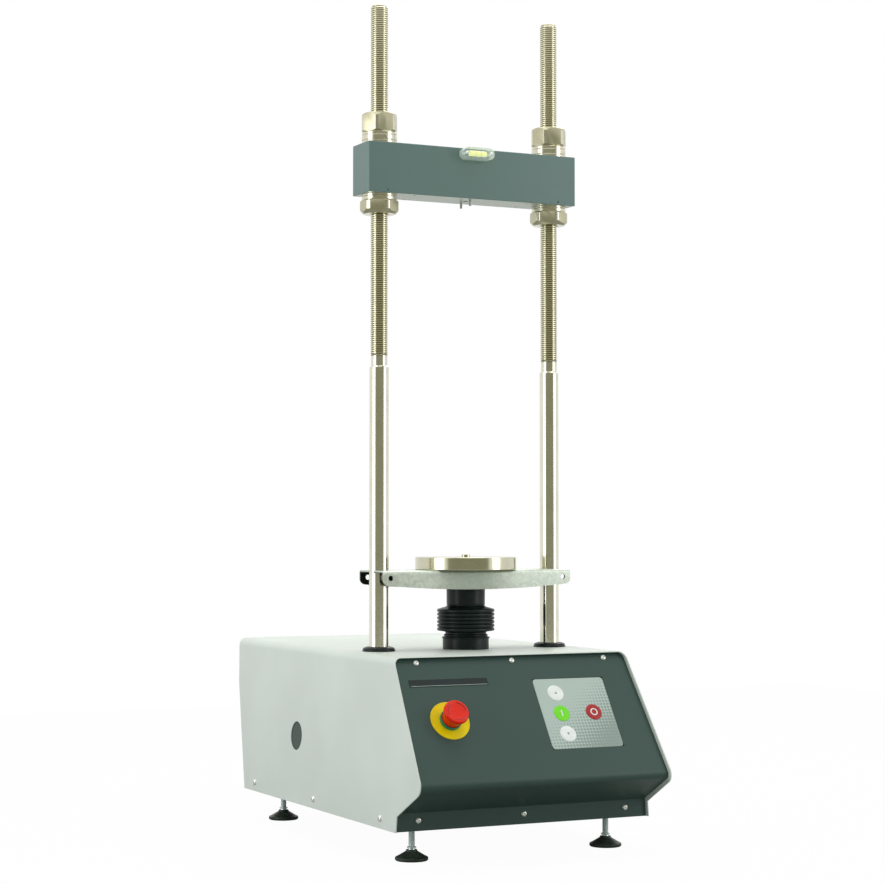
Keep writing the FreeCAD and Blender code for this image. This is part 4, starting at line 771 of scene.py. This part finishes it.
def section(gap):
    """Right half of the case section, set in by gap, as (x, z) from the bottom to the middle of the top."""
    radius = BEND - gap
    tan = math.tan(LEAN)
    top = CASE_TOP - gap
    offset = gap / math.cos(LEAN)
    edge = Vector((half_width(top) - offset, top))
    corners = [(half_width(CASE_BOTTOM) - offset, CASE_BOTTOM), (edge.x, edge.y, radius), (0, top)]
    points = filleted(corners, steps=12)
    bend_low = points[1].y
    front, rear = side_outline()
    levels = sorted({p.y for p in front + rear if CASE_BOTTOM < p.y < bend_low})
    wall = [points[0]] + [Vector((points[0].x - tan * (z - CASE_BOTTOM), z)) for z in levels]
    return wall + points[1:]


def cover_mesh():
    rows = []
    for gap in (0.0, WALL):
        half = section(gap)
        path = [Vector((-p.x, p.y)) for p in half[:-1]] + list(reversed(half))
        for edge in side_outline():
            rows.append([(p.x, reach_at(edge, min(p.y, CASE_TOP)), p.y) for p in path])
    front, rear, inner_front, inner_rear = rows
    return sheet([front, rear, inner_rear, inner_front])


def build_cover():
    below, above = CASE_TOP - 10, CASE_TOP + 10
    plug_place = on_side(-1, SIDE_HOLE_BACK, SIDE_HOLE_UP)
    cutters = [moved(prism(circle(COLUMN_RADIUS + SHEET_FIT), below, above), shift(side * COLUMN_X))
               for side in (-1, 1)]
    cutters.append(prism(circle(NECK_RADIUS - 2), below, above))
    cutters.append(moved(prism(circle(SIDE_HOLE_RADIUS, 64), -9, 9), plug_place))
    bm = carve(cover_mesh(), cutters)
    soften(bm, 0.35, 50)
    piece("case_cover", bm, cover_paint, ROOT, ["cover"])
    rim = SIDE_HOLE_RADIUS - SHEET_FIT
    plug = turned([(0, -1.2), (rim - 1.5, -1.2), (rim - 0.7, -0.4, 0.3), (rim, -0.6, 0.3),
                   (rim, -5), (rim - 2, -5), (rim - 2, -2.6), (0, -2.6)])
    piece("side_plug", moved(plug, plug_place), plug_plastic, ROOT, ["side_hole_plug"])


# Panels: a profile in Y and Z whose ends follow the cover's inner wall
def inner_half(z):
    """Half the width that a panel may have at height z, round the cover's bend."""
    gap = WALL + SHEET_FIT
    edge = half_width(z) - gap / math.cos(LEAN)
    radius = BEND - gap
    centre_z = CASE_TOP - gap - radius
    if z > centre_z:
        edge_at = half_width(centre_z) - gap / math.cos(LEAN)
        edge = min(edge, edge_at - radius + math.sqrt(max(radius ** 2 - (z - centre_z) ** 2, 0)))
    return edge


def offset_path(path, distance):
    """A 2-D path moved to its right by distance, with mitred corners."""
    out = []
    for i, point in enumerate(path):
        sides = []
        if i > 0:
            sides.append((point - path[i - 1]).normalized())
        if i < len(path) - 1:
            sides.append((path[i + 1] - point).normalized())
        normals = [Vector((d.y, -d.x)) for d in sides]
        mitre = sum(normals, Vector((0, 0))).normalized()
        out.append(point + mitre * (distance / mitre.dot(normals[0])))
    return out


def divided(path, longest, above):
    """Extra points on the stretch above a height, so that it can follow the bend."""
    out = [path[0]]
    for a, b in zip(path, path[1:]):
        if max(a.y, b.y) > above:
            count = max(1, int((b - a).length / longest))
            out += [a.lerp(b, k / count) for k in range(1, count)]
        out.append(b)
    return out


def panel_mesh(path, wall):
    """Skin between a profile and its offset, from side to side of the case."""
    outer = divided(path, 2.0, CASE_TOP - 40)
    inner = offset_path(outer, wall)
    edges = ((outer, -1), (outer, 1), (inner, 1), (inner, -1))
    return sheet([[(side * inner_half(p.y), p.x, p.y) for p in line] for line, side in edges])


def front_profile():
    """Outer line of the front panel, set in from the outline by the recess."""
    corner = [Vector((-LIP_FRONT, CASE_BOTTOM)), Vector((-LIP_FRONT, LIP_HIGH)),
              Vector((-NOSE_FRONT, NOSE_HIGH)), Vector((-TOP_FRONT, CASE_TOP))]
    low, lip, nose, top = offset_path(corner, RECESS)
    last = nose + (top - nose) * ((PANEL_TOP - nose.y) / (top.y - nose.y))
    return filleted([tuple(low), (*lip, 2.5), (*nose, NOSE_RADIUS - RECESS), tuple(last)], steps=10)


def build_front_panel():
    bm = panel_mesh(front_profile(), WALL)
    window = prism(rectangle(KEYPAD_WIDTH, KEYPAD_HEIGHT, 0.4, 1), -8, 8)
    window = moved(window, on_slope(KEYPAD_X, KEYPAD_DOWN))
    hole = moved(prism(circle(STOP_HOLE), -8, 8), on_slope(STOP_X, STOP_DOWN))
    bm = carve(bm, [window, hole])
    soften(bm, 0.3, 50)
    piece("front_sheet", bm, panel_paint, ROOT, ["front_panel"])


def build_screws():
    """Button heads with hexagon sockets, one node for all the case screws."""
    def head(radius, height):
        shape = turned([(0, -2), (radius * 0.5, -2), (radius * 0.5, 0), (radius, 0),
                        (radius, height * 0.18, 0.4), (radius * 0.82, height * 0.8, 2.5),
                        (radius * 0.52, height, 0.4), (0, height)], 40)
        socket = prism(polygon(6, radius * 0.68), height * 0.35, height + 1)
        return carve(shape, [socket])

    places = [(M5_HEAD, M5_HEIGHT, on_slope(x, TOP_SCREW_DOWN)) for x in (-TOP_SCREW_X, 0, TOP_SCREW_X)]
    places += [(M5_HEAD, M5_HEIGHT, on_lip(x, LIP_SCREW_UP)) for x in (-LIP_SCREW_X, 0, LIP_SCREW_X)]
    for x in (-TOP_SCREW_X, 0, TOP_SCREW_X):
        places.append((M5_HEAD, M5_HEIGHT, on_rear(x, LIP_SCREW_UP)))
        places.append((M5_HEAD, M5_HEIGHT, on_rear_top(x, REAR_SCREW_DOWN)))
    for side in (-1, 1):
        for k in range(3):
            place = on_side(side, -SIDE_SCREW_FRONT + k * SIDE_SCREW_PITCH, SIDE_SCREW_UP)
            places.append((M6_HEAD, M6_HEIGHT, place))
    heads = []
    for i, (radius, height, place) in enumerate(places):
        turn = Matrix.Rotation(i * 0.7, 4, "Z")
        heads.append(moved(head(radius, height), place @ turn))
    piece("screw_heads", joined(heads), screw_steel, ROOT, ["case_screws"])


# Columns with their real thread
def thread(radius, depth, pitch, low, high, steps=32):
    """Closed helical thread between two heights, with run-outs at both ends."""
    shape = ((0.0, 1.0), (0.125, 1.0), (0.40, 0.12), (0.50, 0.0), (0.62, 0.0), (0.72, 0.12))
    turns = int((high - low) / pitch) + 2
    bm = bmesh.new()
    rows = []
    for turn in range(-1, turns):
        for start, tall in shape:
            row = []
            for k in range(steps):
                z = low + (turn + start + k / steps) * pitch
                held = min(max(z, low), high)
                fade = min((held - low) / pitch, (high - held) / pitch, 1.0)
                r = radius - depth + depth * (tall * fade if low < z < high else 0.0)
                angle = 2 * math.pi * k / steps
                row.append(bm.verts.new((r * math.cos(angle), r * math.sin(angle), held)))
            rows.append(row)
    count = len(shape)
    for i in range(len(rows) - 1):
        for k in range(steps):
            ahead = (k + 1) % steps
            if ahead:
                quad = (rows[i][k], rows[i][ahead], rows[i + 1][ahead], rows[i + 1][k])
            elif i + count + 1 < len(rows):
                quad = (rows[i][k], rows[i + count][0], rows[i + count + 1][0], rows[i + 1][k])
            else:
                continue
            bm.faces.new(quad)
    bmesh.ops.remove_doubles(bm, verts=bm.verts, dist=1e-3)
    bmesh.ops.holes_fill(bm, edges=[e for e in bm.edges if len(e.link_faces) == 1])
    return bm


def build_column(name, x):
    plate = 262.0
    bar = [(0, plate), (COLUMN_RADIUS, plate), (COLUMN_RADIUS, SHOULDER_Z - 0.5)]
    for z in sorted(MARK_HEIGHTS):
        bar[-1:-1] = [(COLUMN_RADIUS, z - 0.3), (COLUMN_RADIUS - 0.1, z - 0.2), (COLUMN_RADIUS - 0.1, z + 0.2),
                      (COLUMN_RADIUS, z + 0.3)]
    bar += [(COLUMN_RADIUS, SHOULDER_Z, 0.6), (UNDERCUT_RADIUS, SHOULDER_Z + 2.5, 0.6),
            (UNDERCUT_RADIUS, THREAD_LOW + 1), (0, THREAD_LOW + 1)]
    smooth = turned(bar)
    cut = thread(THREAD_RADIUS, 1.9, THREAD_PITCH, THREAD_LOW, COLUMN_TOP - 1.2, 36)
    tip = turned([(0, COLUMN_TOP - 3.2), (12.9, COLUMN_TOP - 3.2), (12.9, COLUMN_TOP - 0.8, 0.6),
                  (12.0, COLUMN_TOP, 0.4), (0, COLUMN_TOP)])
    mesh = moved(joined([smooth, cut, tip]), shift(x))
    piece(name + "_bar", mesh, bar_nickel, ROOT, [name])
    seal = turned([(COLUMN_RADIUS, CASE_TOP), (26.4, CASE_TOP), (27.0, CASE_TOP + 1.4, 0.8),
                   (25.4, CASE_TOP + 5.4, 2.2), (20.0, CASE_TOP + 7.5, 1.5), (COLUMN_RADIUS, CASE_TOP + 7.2)])
    return moved(seal, shift(x))


def nut_mesh(profile, hexagon_low, hexagon_high, flats, turn):
    """Turned body with six milled flats between two heights."""
    body = turned(profile)
    keep = prism(polygon(6, flats, turn), hexagon_low, hexagon_high)
    wide = prism(circle(60, 12), hexagon_low, hexagon_high)
    sleeve = carve(wide, [keep])
    return soften(carve(body, [sleeve]), 0.35, 24)


def build_nuts():
    low, step, top = BEAM_TOP, BEAM_TOP + UPPER_STEP, BEAM_TOP + UPPER_HEIGHT
    collar = COLLAR_RADIUS
    upper = [(NUT_BORE, low), (collar, low, 0.5), (collar, low + 4.0, 0.4), (collar - 1.2, low + 4.6),
             (collar - 1.2, low + 5.4), (collar, low + 6.0, 0.4), (collar, low + 13.0, 0.4),
             (collar - 0.9, low + 13.5), (collar - 0.9, low + 14.3), (collar, low + 14.8, 0.4),
             (collar, step - 1.5, 0.3), (collar - 1.6, step, 0.3), (UPPER_RADIUS - 2.6, step),
             (UPPER_RADIUS, step + 2.0, 0.6), (UPPER_RADIUS, top - 6, 1.5),
             (UPPER_RADIUS - 1.8, top - 2.2, 1.5), (UPPER_RADIUS - 5, top, 1.5), (NUT_BORE + 1.0, top),
             (NUT_BORE, top - 1.0)]
    top = BEAM_Z
    step, tip = top - LOWER_STEP, top - LOWER_HEIGHT
    groove = top - LOWER_RING
    lower = [(NUT_BORE, top), (collar, top, 0.4), (collar, groove + 0.5, 0.4), (collar - 1.2, groove),
             (collar, groove - 0.5, 0.4), (collar, step + 0.8, 0.4), (collar - 0.8, step),
             (LOWER_RADIUS - 2.2, step), (LOWER_RADIUS, step - 1.8, 0.6),
             (LOWER_RADIUS, step - LOWER_HEX + 1.5, 1.2), (LOWER_RADIUS - 1.2, step - LOWER_HEX - 0.4, 1.0),
             (LOWER_NOSE, tip, 1.0), (NUT_BORE + 1.0, tip), (NUT_BORE, tip + 1.0)]
    hex_low, high = BEAM_TOP + UPPER_STEP - 0.01, BEAM_TOP + UPPER_HEIGHT + 1
    upper_nickel = nut_surface("upper_nut_nickel", UPPER_RADIUS, hex_low, high)
    lower_nickel = nut_surface("lower_nut_nickel", LOWER_RADIUS, tip, step)
    for node, turn in NUT_TURNS.items():
        x = -COLUMN_X if "left" in node else COLUMN_X
        if "upper" in node:
            mesh, surface = nut_mesh(upper, hex_low, high, UPPER_FLATS, turn), upper_nickel
        else:
            mesh, surface = nut_mesh(lower, tip - 1, step + 0.01, LOWER_FLATS, turn), lower_nickel
        piece(node + "_turned", moved(mesh, shift(x)), surface, node, [node])


# Spirit level on the beam
def build_level():
    length, depth, height = 56.0, 19.0, 19.0
    screw_x, vial_down = 22.5, 7.0
    face = -BEAM_DEPTH / 2 - depth
    z = BEAM_TOP - 0.5 - height / 2
    view = facing((0, face, z))
    block = prism(rectangle(length, height, 9.2, 12), -depth, 0)
    across = shift(0, 0, -vial_down) @ Matrix.Rotation(math.pi / 2, 4, "Y")
    holes = [moved(prism(circle(1.7, 24), -depth - 1, 1), shift(x)) for x in (-screw_x, screw_x)]
    cavity = lathe([(0, -15.2), (4.75, -15.2), (4.75, 15.2), (0, 15.2)], 40)
    cavity.transform(across)
    block = moved(soften(carve(block, holes + [cavity]), 0.5, 50, 3), view)
    piece("level_body", block, clear_acrylic(), "crossbeam", ["level_block"], 35)
    tube = turned([(0, -15), (4.6, -15, 1), (4.6, 15, 1), (0, 15)])
    tube = moved(tube, view @ across)
    piece("level_tube", tube, vial_fluid(), "crossbeam", ["level_vial"])
    bands = []
    for x in (-5.0, 5.0):
        band = lathe([(4.62, x - 0.3), (4.72, x - 0.3), (4.72, x + 0.3), (4.62, x + 0.3)], 40)
        bands.append(moved(band, view @ across))
    piece("level_lines", joined(bands), black_plastic, "crossbeam", ())
    bubble = bmesh.new()
    bmesh.ops.create_uvsphere(bubble, u_segments=24, v_segments=12, radius=1.0)
    bubble.transform(view @ shift(0.8, 2.9, -vial_down) @ Matrix.Diagonal((4.4, 1.5, 3.2, 1)))
    piece("level_bubble", bubble, white_print, "crossbeam", ())
    heads = []
    for x in (-screw_x, screw_x):
        head = turned([(0, -2), (1.4, -2), (1.4, 0), (M3_HEAD, 0), (M3_HEAD, 0.4, 0.3), (2.2, 1.4, 1.0),
                       (1.5, 1.7), (0, 1.7)], 32)
        heads.append(moved(carve(head, [prism(polygon(6, 2.0), 0.6, 3)]), view @ shift(x)))
    for x in (-COLUMN_X, COLUMN_X):
        pin = turned([(0, -8), (1.6, -8), (1.6, -3), (0, -3)], 24)
        pin = carve(pin, [prism(polygon(6, 1.5), -4.2, -2)])
        front = facing((x, -BEAM_DEPTH / 2 - 0.05, BEAM_Z + 4.5))
        heads.append(moved(pin, front))
    piece("beam_screw_heads", joined(heads), screw_steel, "crossbeam", ["beam_screws"])


# Ram end: platen, bracket, collars and bellows
def build_ram():
    low, top, boss_top = PLATEN_TOP - PLATEN_THICKNESS, PLATEN_TOP, PLATEN_TOP + BOSS_HEIGHT
    disc = turned([(0, low), (PLATEN_RADIUS, low, 1.2), (PLATEN_RADIUS, top, 1.2), (BOSS_RADIUS + 4, top),
                   (BOSS_RADIUS + 3.6, top - 0.4), (BOSS_RADIUS, top - 0.4), (BOSS_RADIUS, boss_top, 1.0),
                   (2.5, boss_top), (2.5, boss_top - 2.5), (0, boss_top - 3.5)], 144)
    piece("platen_disc", disc, platen_nickel, "ram", ["platen"])
    neck, neck_low, neck_top = TOP_COLLAR_RADIUS, TOP_COLLAR_LOW, TOP_COLLAR_TOP
    collar = turned([(18, neck_low), (neck - 0.6, neck_low), (neck - 0.2, neck_low + 3, 1.5),
                     (neck, neck_top, 1.2), (neck - 3, neck_top), (18, neck_top)])
    piece("bellows_neck", collar, black_rubber, "ram", ["bellows_top_collar"])
    build_bracket()
    first, half = FIRST_FOLD, FOLD_PITCH / 2
    outer = [(NECK_RADIUS, NECK_TOP + 0.3), (NECK_RADIUS + 0.5, NECK_TOP + 1.4, 0.8),
             (FOLD_RADIUS - 3.2, first - 2.4, 0.8)]
    for k in range(FOLD_COUNT):
        z = first + k * FOLD_PITCH
        outer += [(FOLD_RADIUS, z - 2.3, 2.2), (FOLD_RADIUS, z + 2.3, 2.2)]
        if k < FOLD_COUNT - 1:
            outer.append((FOLD_ROOT, z + half, 0.4))
    outer += [(neck + 1.5, neck_low - 2.2, 2.0), (neck - 0.9, neck_low - 0.3)]
    inner = [(p[0] - 3.2, p[1]) for p in reversed(outer)]
    boot = piece("bellows_boot", turned(outer + inner), black_rubber, None, ["bellows"])
    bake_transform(boot)
    high = BASE_COLLAR_TOP
    base = turned([(32, CASE_TOP), (BASE_COLLAR_RADIUS, CASE_TOP), (BASE_COLLAR_RADIUS, high - 1.6, 0.4),
                   (39.8, high - 0.8, 0.6), (39.8, high + 0.8, 0.8), (NECK_RADIUS + 1.2, high + 2.2, 1.0),
                   (36.5, high + 3.4, 0.6), (36.5, high + 4.8, 0.8), (NECK_RADIUS, high + 6.2, 0.6),
                   (NECK_RADIUS, NECK_TOP), (32, NECK_TOP)])
    piece("bellows_foot", base, black_rubber, ROOT, ["bellows_base_collar"])


def bracket_drop(x):
    """How far the flange hangs below the web's top at x."""
    half = BRACKET_HALF
    share = 1 - (x / half) ** 2
    drop = BRACKET_END_DROP + (BRACKET_MID_DROP - BRACKET_END_DROP) * share
    near = abs(x) - (half - BRACKET_CORNER)
    if near > 0:
        drop -= BRACKET_CORNER - math.sqrt(max(BRACKET_CORNER ** 2 - near ** 2, 0))
    return drop


def build_bracket():
    top = PLATEN_TOP - PLATEN_THICKNESS
    half = BRACKET_DEPTH / 2
    bend, wall = 5.0, BRACKET_WALL
    ends = [BRACKET_HALF - BRACKET_CORNER * (1 - math.sin(k * math.pi / 16)) for k in range(9)]
    middle = [(-1 + 2 * k / 40) * (BRACKET_HALF - BRACKET_CORNER) for k in range(1, 40)]
    stations = [-x for x in reversed(ends)] + middle + ends
    bm = bmesh.new()
    rows = []
    for x in stations:
        drop = bracket_drop(x)
        low = top - drop
        outer = filleted([(-half, low), (-half, top, bend), (half, top, bend), (half, low)], steps=6)
        inner = filleted([(-half + wall, low), (-half + wall, top - wall, bend - wall),
                          (half - wall, top - wall, bend - wall), (half - wall, low)], steps=6)
        rows.append([bm.verts.new((x, p.x, p.y)) for p in outer + list(reversed(inner))])
    for first, second in zip(rows, rows[1:]):
        weave(bm, first, second)
    side = len(rows[0]) // 2
    for row in (rows[0], rows[-1]):
        for k in range(side - 1):
            bm.faces.new((row[k], row[k + 1], row[2 * side - 2 - k], row[2 * side - 1 - k]))
    cutters = []
    for s in (-1, 1):
        cutters.append(moved(prism(circle(NOTCH_RADIUS, 64), top - 12, top + 5), shift(s * COLUMN_X)))
        for y in (-half + wall / 2, half - wall / 2):
            place = facing((s * COLUMN_X, y, top - BRACKET_HOLE_DROP))
            cutters.append(moved(prism(circle(BRACKET_HOLE, 32), -wall, wall), place))
    bm = carve(bm, cutters)
    soften(bm, 0.4, 45)
    piece("guide_channel", bm, galvanised, "ram", ["guide_bracket"])


# Emergency stop, keypad and blank plate on the sloping panel
def build_stop():
    place = on_slope(STOP_X, STOP_DOWN)
    disc = turned([(11.3, 0), (32.5, 0), (32.5, 1.5, 0.5), (30.6, 1.5, 0.2), (30.2, 1.25), (11.3, 1.25)])
    piece("stop_disc_plate", moved(disc, place), yellow, ROOT, ["stop_disc"])
    collar = turned([(STOP_BORE, 1.5), (17.5, 1.5), (17.5, 7.0, 0.8), (16.1, 7.0, 0.5), (16.1, 2.0, 0.4),
                     (STOP_BORE, 2.0)])
    barrel = turned([(STOP_BORE, -24), (STOP_BARREL, -24), (STOP_BARREL, 1.5), (STOP_BORE, 1.5)])
    nut = turned([(STOP_BARREL, -6), (14.5, -6), (14.5, -2), (STOP_BARREL, -2)])
    mesh = joined([collar, barrel, nut])
    piece("stop_collar", moved(mesh, place), green, ROOT, ["stop_body"])
    head = turned([(STOP_BORE, 6.4), (15.5, 6.4, 0.6), (16.2, 14.0, 3), (17.2, 19.5, 4), (19.8, 23.5, 2.5),
                   (20.5, 26.0, 1.2), (20.2, 28.6, 1.2), (18.6, 30.4, 1.2), (16.4, 30.4, 1.0),
                   (14.4, 29.9, 1.5), (8.0, 29.2, 3.0), (0, 29.0), (0, 18.1), (STOP_BORE, 18.1)])
    piece("stop_mushroom", moved(head, place), stop_red(), "stop_head", ["stop_head"])


def build_keypad():
    place = on_slope(KEYPAD_X, KEYPAD_DOWN)
    plate = prism(rectangle(KEYPAD_WIDTH - 1.0, KEYPAD_HEIGHT - 1.0, 6.0, 8), -1.5, -0.5)
    keys = (("key_up", -KEY_COLUMN, KEY_ROW, key_white, "key_film"),
            ("key_start", -KEY_COLUMN, 0.0, key_green, "key_green"),
            ("key_down", -KEY_COLUMN, -KEY_ROW, key_white, "key_film"),
            ("key_stop", KEY_COLUMN, 0.0, key_red, "key_red"))
    spots = {node: place @ shift(x, y) for node, x, y, paint, slot in keys}
    sign_low, sign_top = 0.40, 0.52
    hole = KEY_RADIUS + 0.15
    holes = [moved(prism(circle(hole, 64), -3, 3), shift(x, y)) for node, x, y, paint, slot in keys]
    plate = soften(carve(plate, holes), 0.12, 50)
    piece("keypad_film", moved(plate, place), overlay_film(), ROOT, ["keypad_overlay"])
    for node, x, y, paint, slot in keys:
        cap = turned([(0, -1.95), (KEY_RADIUS, -1.95), (KEY_RADIUS, -0.3, 0.3), (KEY_RADIUS - 1.4, 0.2, 0.8),
                      (KEY_RADIUS - 3.5, 0.45, 1.0), (0, 0.45)], 64)
        piece(node + "_cap", moved(cap, spots[node]), paint, node, [node])
    triangle = [Vector((-2.5, -1.8)), Vector((2.5, -1.8)), Vector((0, 2.5))]
    for node, turn in (("key_up", 0), ("key_down", math.pi)):
        sign = prism(triangle, sign_low, sign_top)
        at = spots[node] @ Matrix.Rotation(turn, 4, "Z")
        piece(node + "_sign", moved(sign, at), grey_print, node, ())
    bar = prism(rectangle(2.2, 11.0, 0.4, 2), sign_low, sign_top)
    loop = lathe([(4.4, sign_low), (6.4, sign_low), (6.4, sign_top), (4.4, sign_top)], 64)
    for node, sign in (("key_start", bar), ("key_stop", loop)):
        piece(node + "_sign", moved(sign, spots[node]), white_print, node, ())


def build_plate():
    place = on_slope(PLATE_X, PLATE_DOWN)
    plate = soften(prism(rectangle(PLATE_WIDTH, PLATE_HIGH, 1.0, 4), 0, 0.95), 0.25, 50)
    piece("blank_plate", moved(plate, place), strip, ROOT, ["name_plate"])
    edge = prism(rectangle(PLATE_WIDTH - 3, 0.5, 0.1, 1), 0.9, 1.0)
    piece("blank_plate_line", moved(edge, place @ shift(0, -PLATE_HIGH / 2 + 0.7)), strip_edge, ROOT, ())


# Feet: moulded pad, zinc flange and threaded stud
def build_feet():
    for label, x, y in (("front_left", -FOOT_X, FOOT_FRONT), ("front_right", FOOT_X, FOOT_FRONT),
                        ("rear_left", -FOOT_X, FOOT_REAR), ("rear_right", FOOT_X, FOOT_REAR)):
        node = "foot_" + label
        pad = turned([(0, 0), (FOOT_RADIUS - 1.5, 0), (FOOT_RADIUS, 1.5, 1.0), (FOOT_RADIUS, 4.6, 1.0),
                      (FOOT_RADIUS - 1.6, 6.0, 0.8), (FOOT_RADIUS - 2.8, 6.2, 0.8), (9.4, 14.4, 1.5),
                      (8.6, 16.6, 0.6), (7.8, 17.0, 0.4), (0, 17.0)], 72)
        piece(node + "_pad", moved(pad, shift(x, y)), foot_rubber, node, [node])
        stud = turned([(0, 17), (5.6, 17), (5.2, 19.0, 0.4), (7.2, 19.3, 0.4), (7.2, 21.0, 0.5),
                       (5.0, 21.4), (4.1, 22.4), (0, 22.4)], 48)
        rod = thread(5.0, 0.6, 1.5, 21.2, 77.3, 20)
        piece(node + "_stud", moved(joined([stud, rod]), shift(x, y)), stud_steel, node, ())


# Plain nodes keep their solids and get a material
def dress(surface, *nodes):
    for name in nodes:
        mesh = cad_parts[name].data
        mesh.materials.clear()
        mesh.materials.append(surface.material)


def build_rear_signs():
    place = on_rear(INLET_X, ROCKER_UP)
    tilt = Matrix.Rotation(math.radians(-8), 4, "X")
    at = place @ shift(0, 0, ROCKER_PIVOT) @ tilt
    bar = prism(rectangle(0.8, 4.0, 0.1, 1), 6.95, 7.05)
    loop = lathe([(1.4, 6.95), (2.0, 6.95), (2.0, 7.05), (1.4, 7.05)], 32)
    signs = joined([moved(bar, shift(0, 6.5)), moved(loop, shift(0, -6.5))])
    piece("rocker_signs", moved(signs, at), white_print, "switch_rocker", ())


bar_nickel = column_surface()
build_cover()
build_front_panel()
build_screws()
seals = [build_column("left_column", -COLUMN_X), build_column("right_column", COLUMN_X)]
piece("column_gaiters", joined(seals), black_rubber, ROOT, ["column_seals"])
build_nuts()
build_level()
build_ram()
build_stop()
build_keypad()
build_plate()
build_feet()
build_rear_signs()
dress(panel_paint, "rear_panel")
dress(beam_surface(), "crossbeam")
dress(zinc, "panel_rails", "base_tray", "column_base_nuts", "motor_bracket", "power_supply")
dress(inner_paint, "lower_crosshead", "frame_uprights")
dress(motor_paint, "drive_motor")
dress(iron, "jack_housing")
dress(ground_steel, "ram_screw", "nut_bearings", "locating_pins")
dress(bronze, "ram_bush", "drive_nut")
dress(aluminium, "nut_pulley", "motor_pulley", "motor_gearbox", "motor_drive")
dress(black_rubber, "drive_belt")
dress(black_plastic, "stop_contacts", "stop_stem", "power_inlet", "switch_rocker")
dress(inner_paint, "keypad_board")
dress(board, "control_board")


# Stage: pale floor, white surroundings, soft lamps
AMBIENT = 0.55
FLOOR_HALF = 2.6
CAMERA_SIDE = -115.6


def seen_white(tree, shade, color, amount):
    """Mix a shader with plain white for what the camera sees."""
    path = tree.nodes.new("ShaderNodeLightPath")
    path = Wire(tree, path.outputs["Is Camera Ray"])
    glow = tree.nodes.new("ShaderNodeEmission")
    glow.inputs["Color"].default_value = (*color, 1)
    mix = tree.nodes.new("ShaderNodeMixShader")
    tree.links.new((path * amount).socket, mix.inputs[0])
    tree.links.new(shade, mix.inputs[1])
    tree.links.new(glow.outputs[0], mix.inputs[2])
    return mix.outputs[0]


def floor_card(name, corners, color, white):
    """A flat stage card that the camera sees nearly white."""
    bm = bmesh.new()
    bm.faces.new([bm.verts.new(c) for c in corners])
    surface = Surface(name, color, 0.9)
    output = surface.tree.nodes["Material Output"]
    shown = seen_white(surface.tree, surface.shader.outputs[0], (1.03, 1.03, 1.03), white)
    surface.tree.links.new(shown, output.inputs["Surface"])
    mesh = mesh_from(bm, name)
    mesh.materials.append(surface.material)
    add_object(name, mesh)


def lamp(name, place, target, size, power, color=(1.0, 1.0, 1.0)):
    data = bpy.data.lights.new(name, "AREA")
    data.shape = "RECTANGLE"
    data.size, data.size_y = size
    data.energy = power
    data.color = color
    obj = add_object(name, data)
    obj.location = place
    obj.rotation_euler = (Vector(target) - Vector(place)).to_track_quat("-Z", "Y").to_euler()
    obj.visible_camera = False


FLOOR_CORNERS = [(x * FLOOR_HALF, y * FLOOR_HALF, 0) for x, y in ((-1, -1), (1, -1), (1, 1), (-1, 1))]
floor_card("floor", FLOOR_CORNERS, (0.40, 0.41, 0.40), 0.94)
world = bpy.data.worlds.new("studio")
bpy.context.scene.world = world
world.use_nodes = True
background = world.node_tree.nodes["Background"]
path = world.node_tree.nodes.new("ShaderNodeLightPath")
camera_ray = Wire(world.node_tree, path.outputs["Is Camera Ray"])
shown = camera_ray.maths("MAXIMUM", Wire(world.node_tree, path.outputs["Is Glossy Ray"]))
shown = shown.maths("MAXIMUM", Wire(world.node_tree, path.outputs["Is Transmission Ray"]))
world.node_tree.links.new((shown * (1 - AMBIENT) + AMBIENT).socket, background.inputs["Strength"])
background.inputs["Color"].default_value = (1, 1, 1, 1)


def around(turn, distance, z):
    """Point at an angle about the machine, counted from the camera towards the picture's right."""
    angle = math.radians(CAMERA_SIDE + turn)
    return Vector((distance * math.cos(angle), distance * math.sin(angle) + COLUMN_Y, z))


def backdrop(name, start, end, distance, low, high, color):
    """Curved card behind the camera that only polished metal sees."""
    steps = 12
    bm = bmesh.new()
    turns = [start + (end - start) * k / steps for k in range(steps + 1)]
    below, above = ([bm.verts.new(around(turn, distance, z)) for turn in turns] for z in (low, high))
    weave(bm, below, above, False)
    surface = Surface(name, (0, 0, 0), 1.0, Emission_Color=(*color, 1), Emission_Strength=1.0)
    surface.set("Specular IOR Level", 0.0)
    mesh = mesh_from(bm, name)
    mesh.materials.append(surface.material)
    obj = add_object(name, mesh)
    obj.visible_camera = False
    obj.visible_diffuse = False
    obj.visible_transmission = False
    obj.visible_shadow = False


backdrop("dark_card", -42, 52, 4.1, 0.01, 2.2, (0.30, 0.30, 0.21))
lamp("left_box", around(-63, 2.7, 0.9), (0, -0.1, 0.4), (1.1, 2.0), 21)
lamp("right_box", around(72, 3.0, 1.2), (0, -0.1, 0.6), (1.0, 2.2), 20)
lamp("back_box", (1.6, 1.8, 2.6), (0, 0.1, 0.3), (1.4, 1.4), 15, (1.0, 0.99, 0.95))
lamp("top_box", (0.1, 0.1, 3.2), (0, -0.1, 0.3), (2.2, 2.2), 33.5, (1.0, 0.975, 0.91))

camera_data = bpy.data.cameras.new("camera")
camera = add_object("camera", camera_data)
camera.location = (-1.6254, -3.3546, 0.5165)
camera.rotation_euler = (math.radians(92.23), 0, math.radians(-25.984))
camera_data.lens = 88.93
camera_data.sensor_width = 36.0
bpy.context.scene.camera = camera
bpy.context.scene.view_settings.view_transform = "Standard"

bpy.context.view_layer.update()
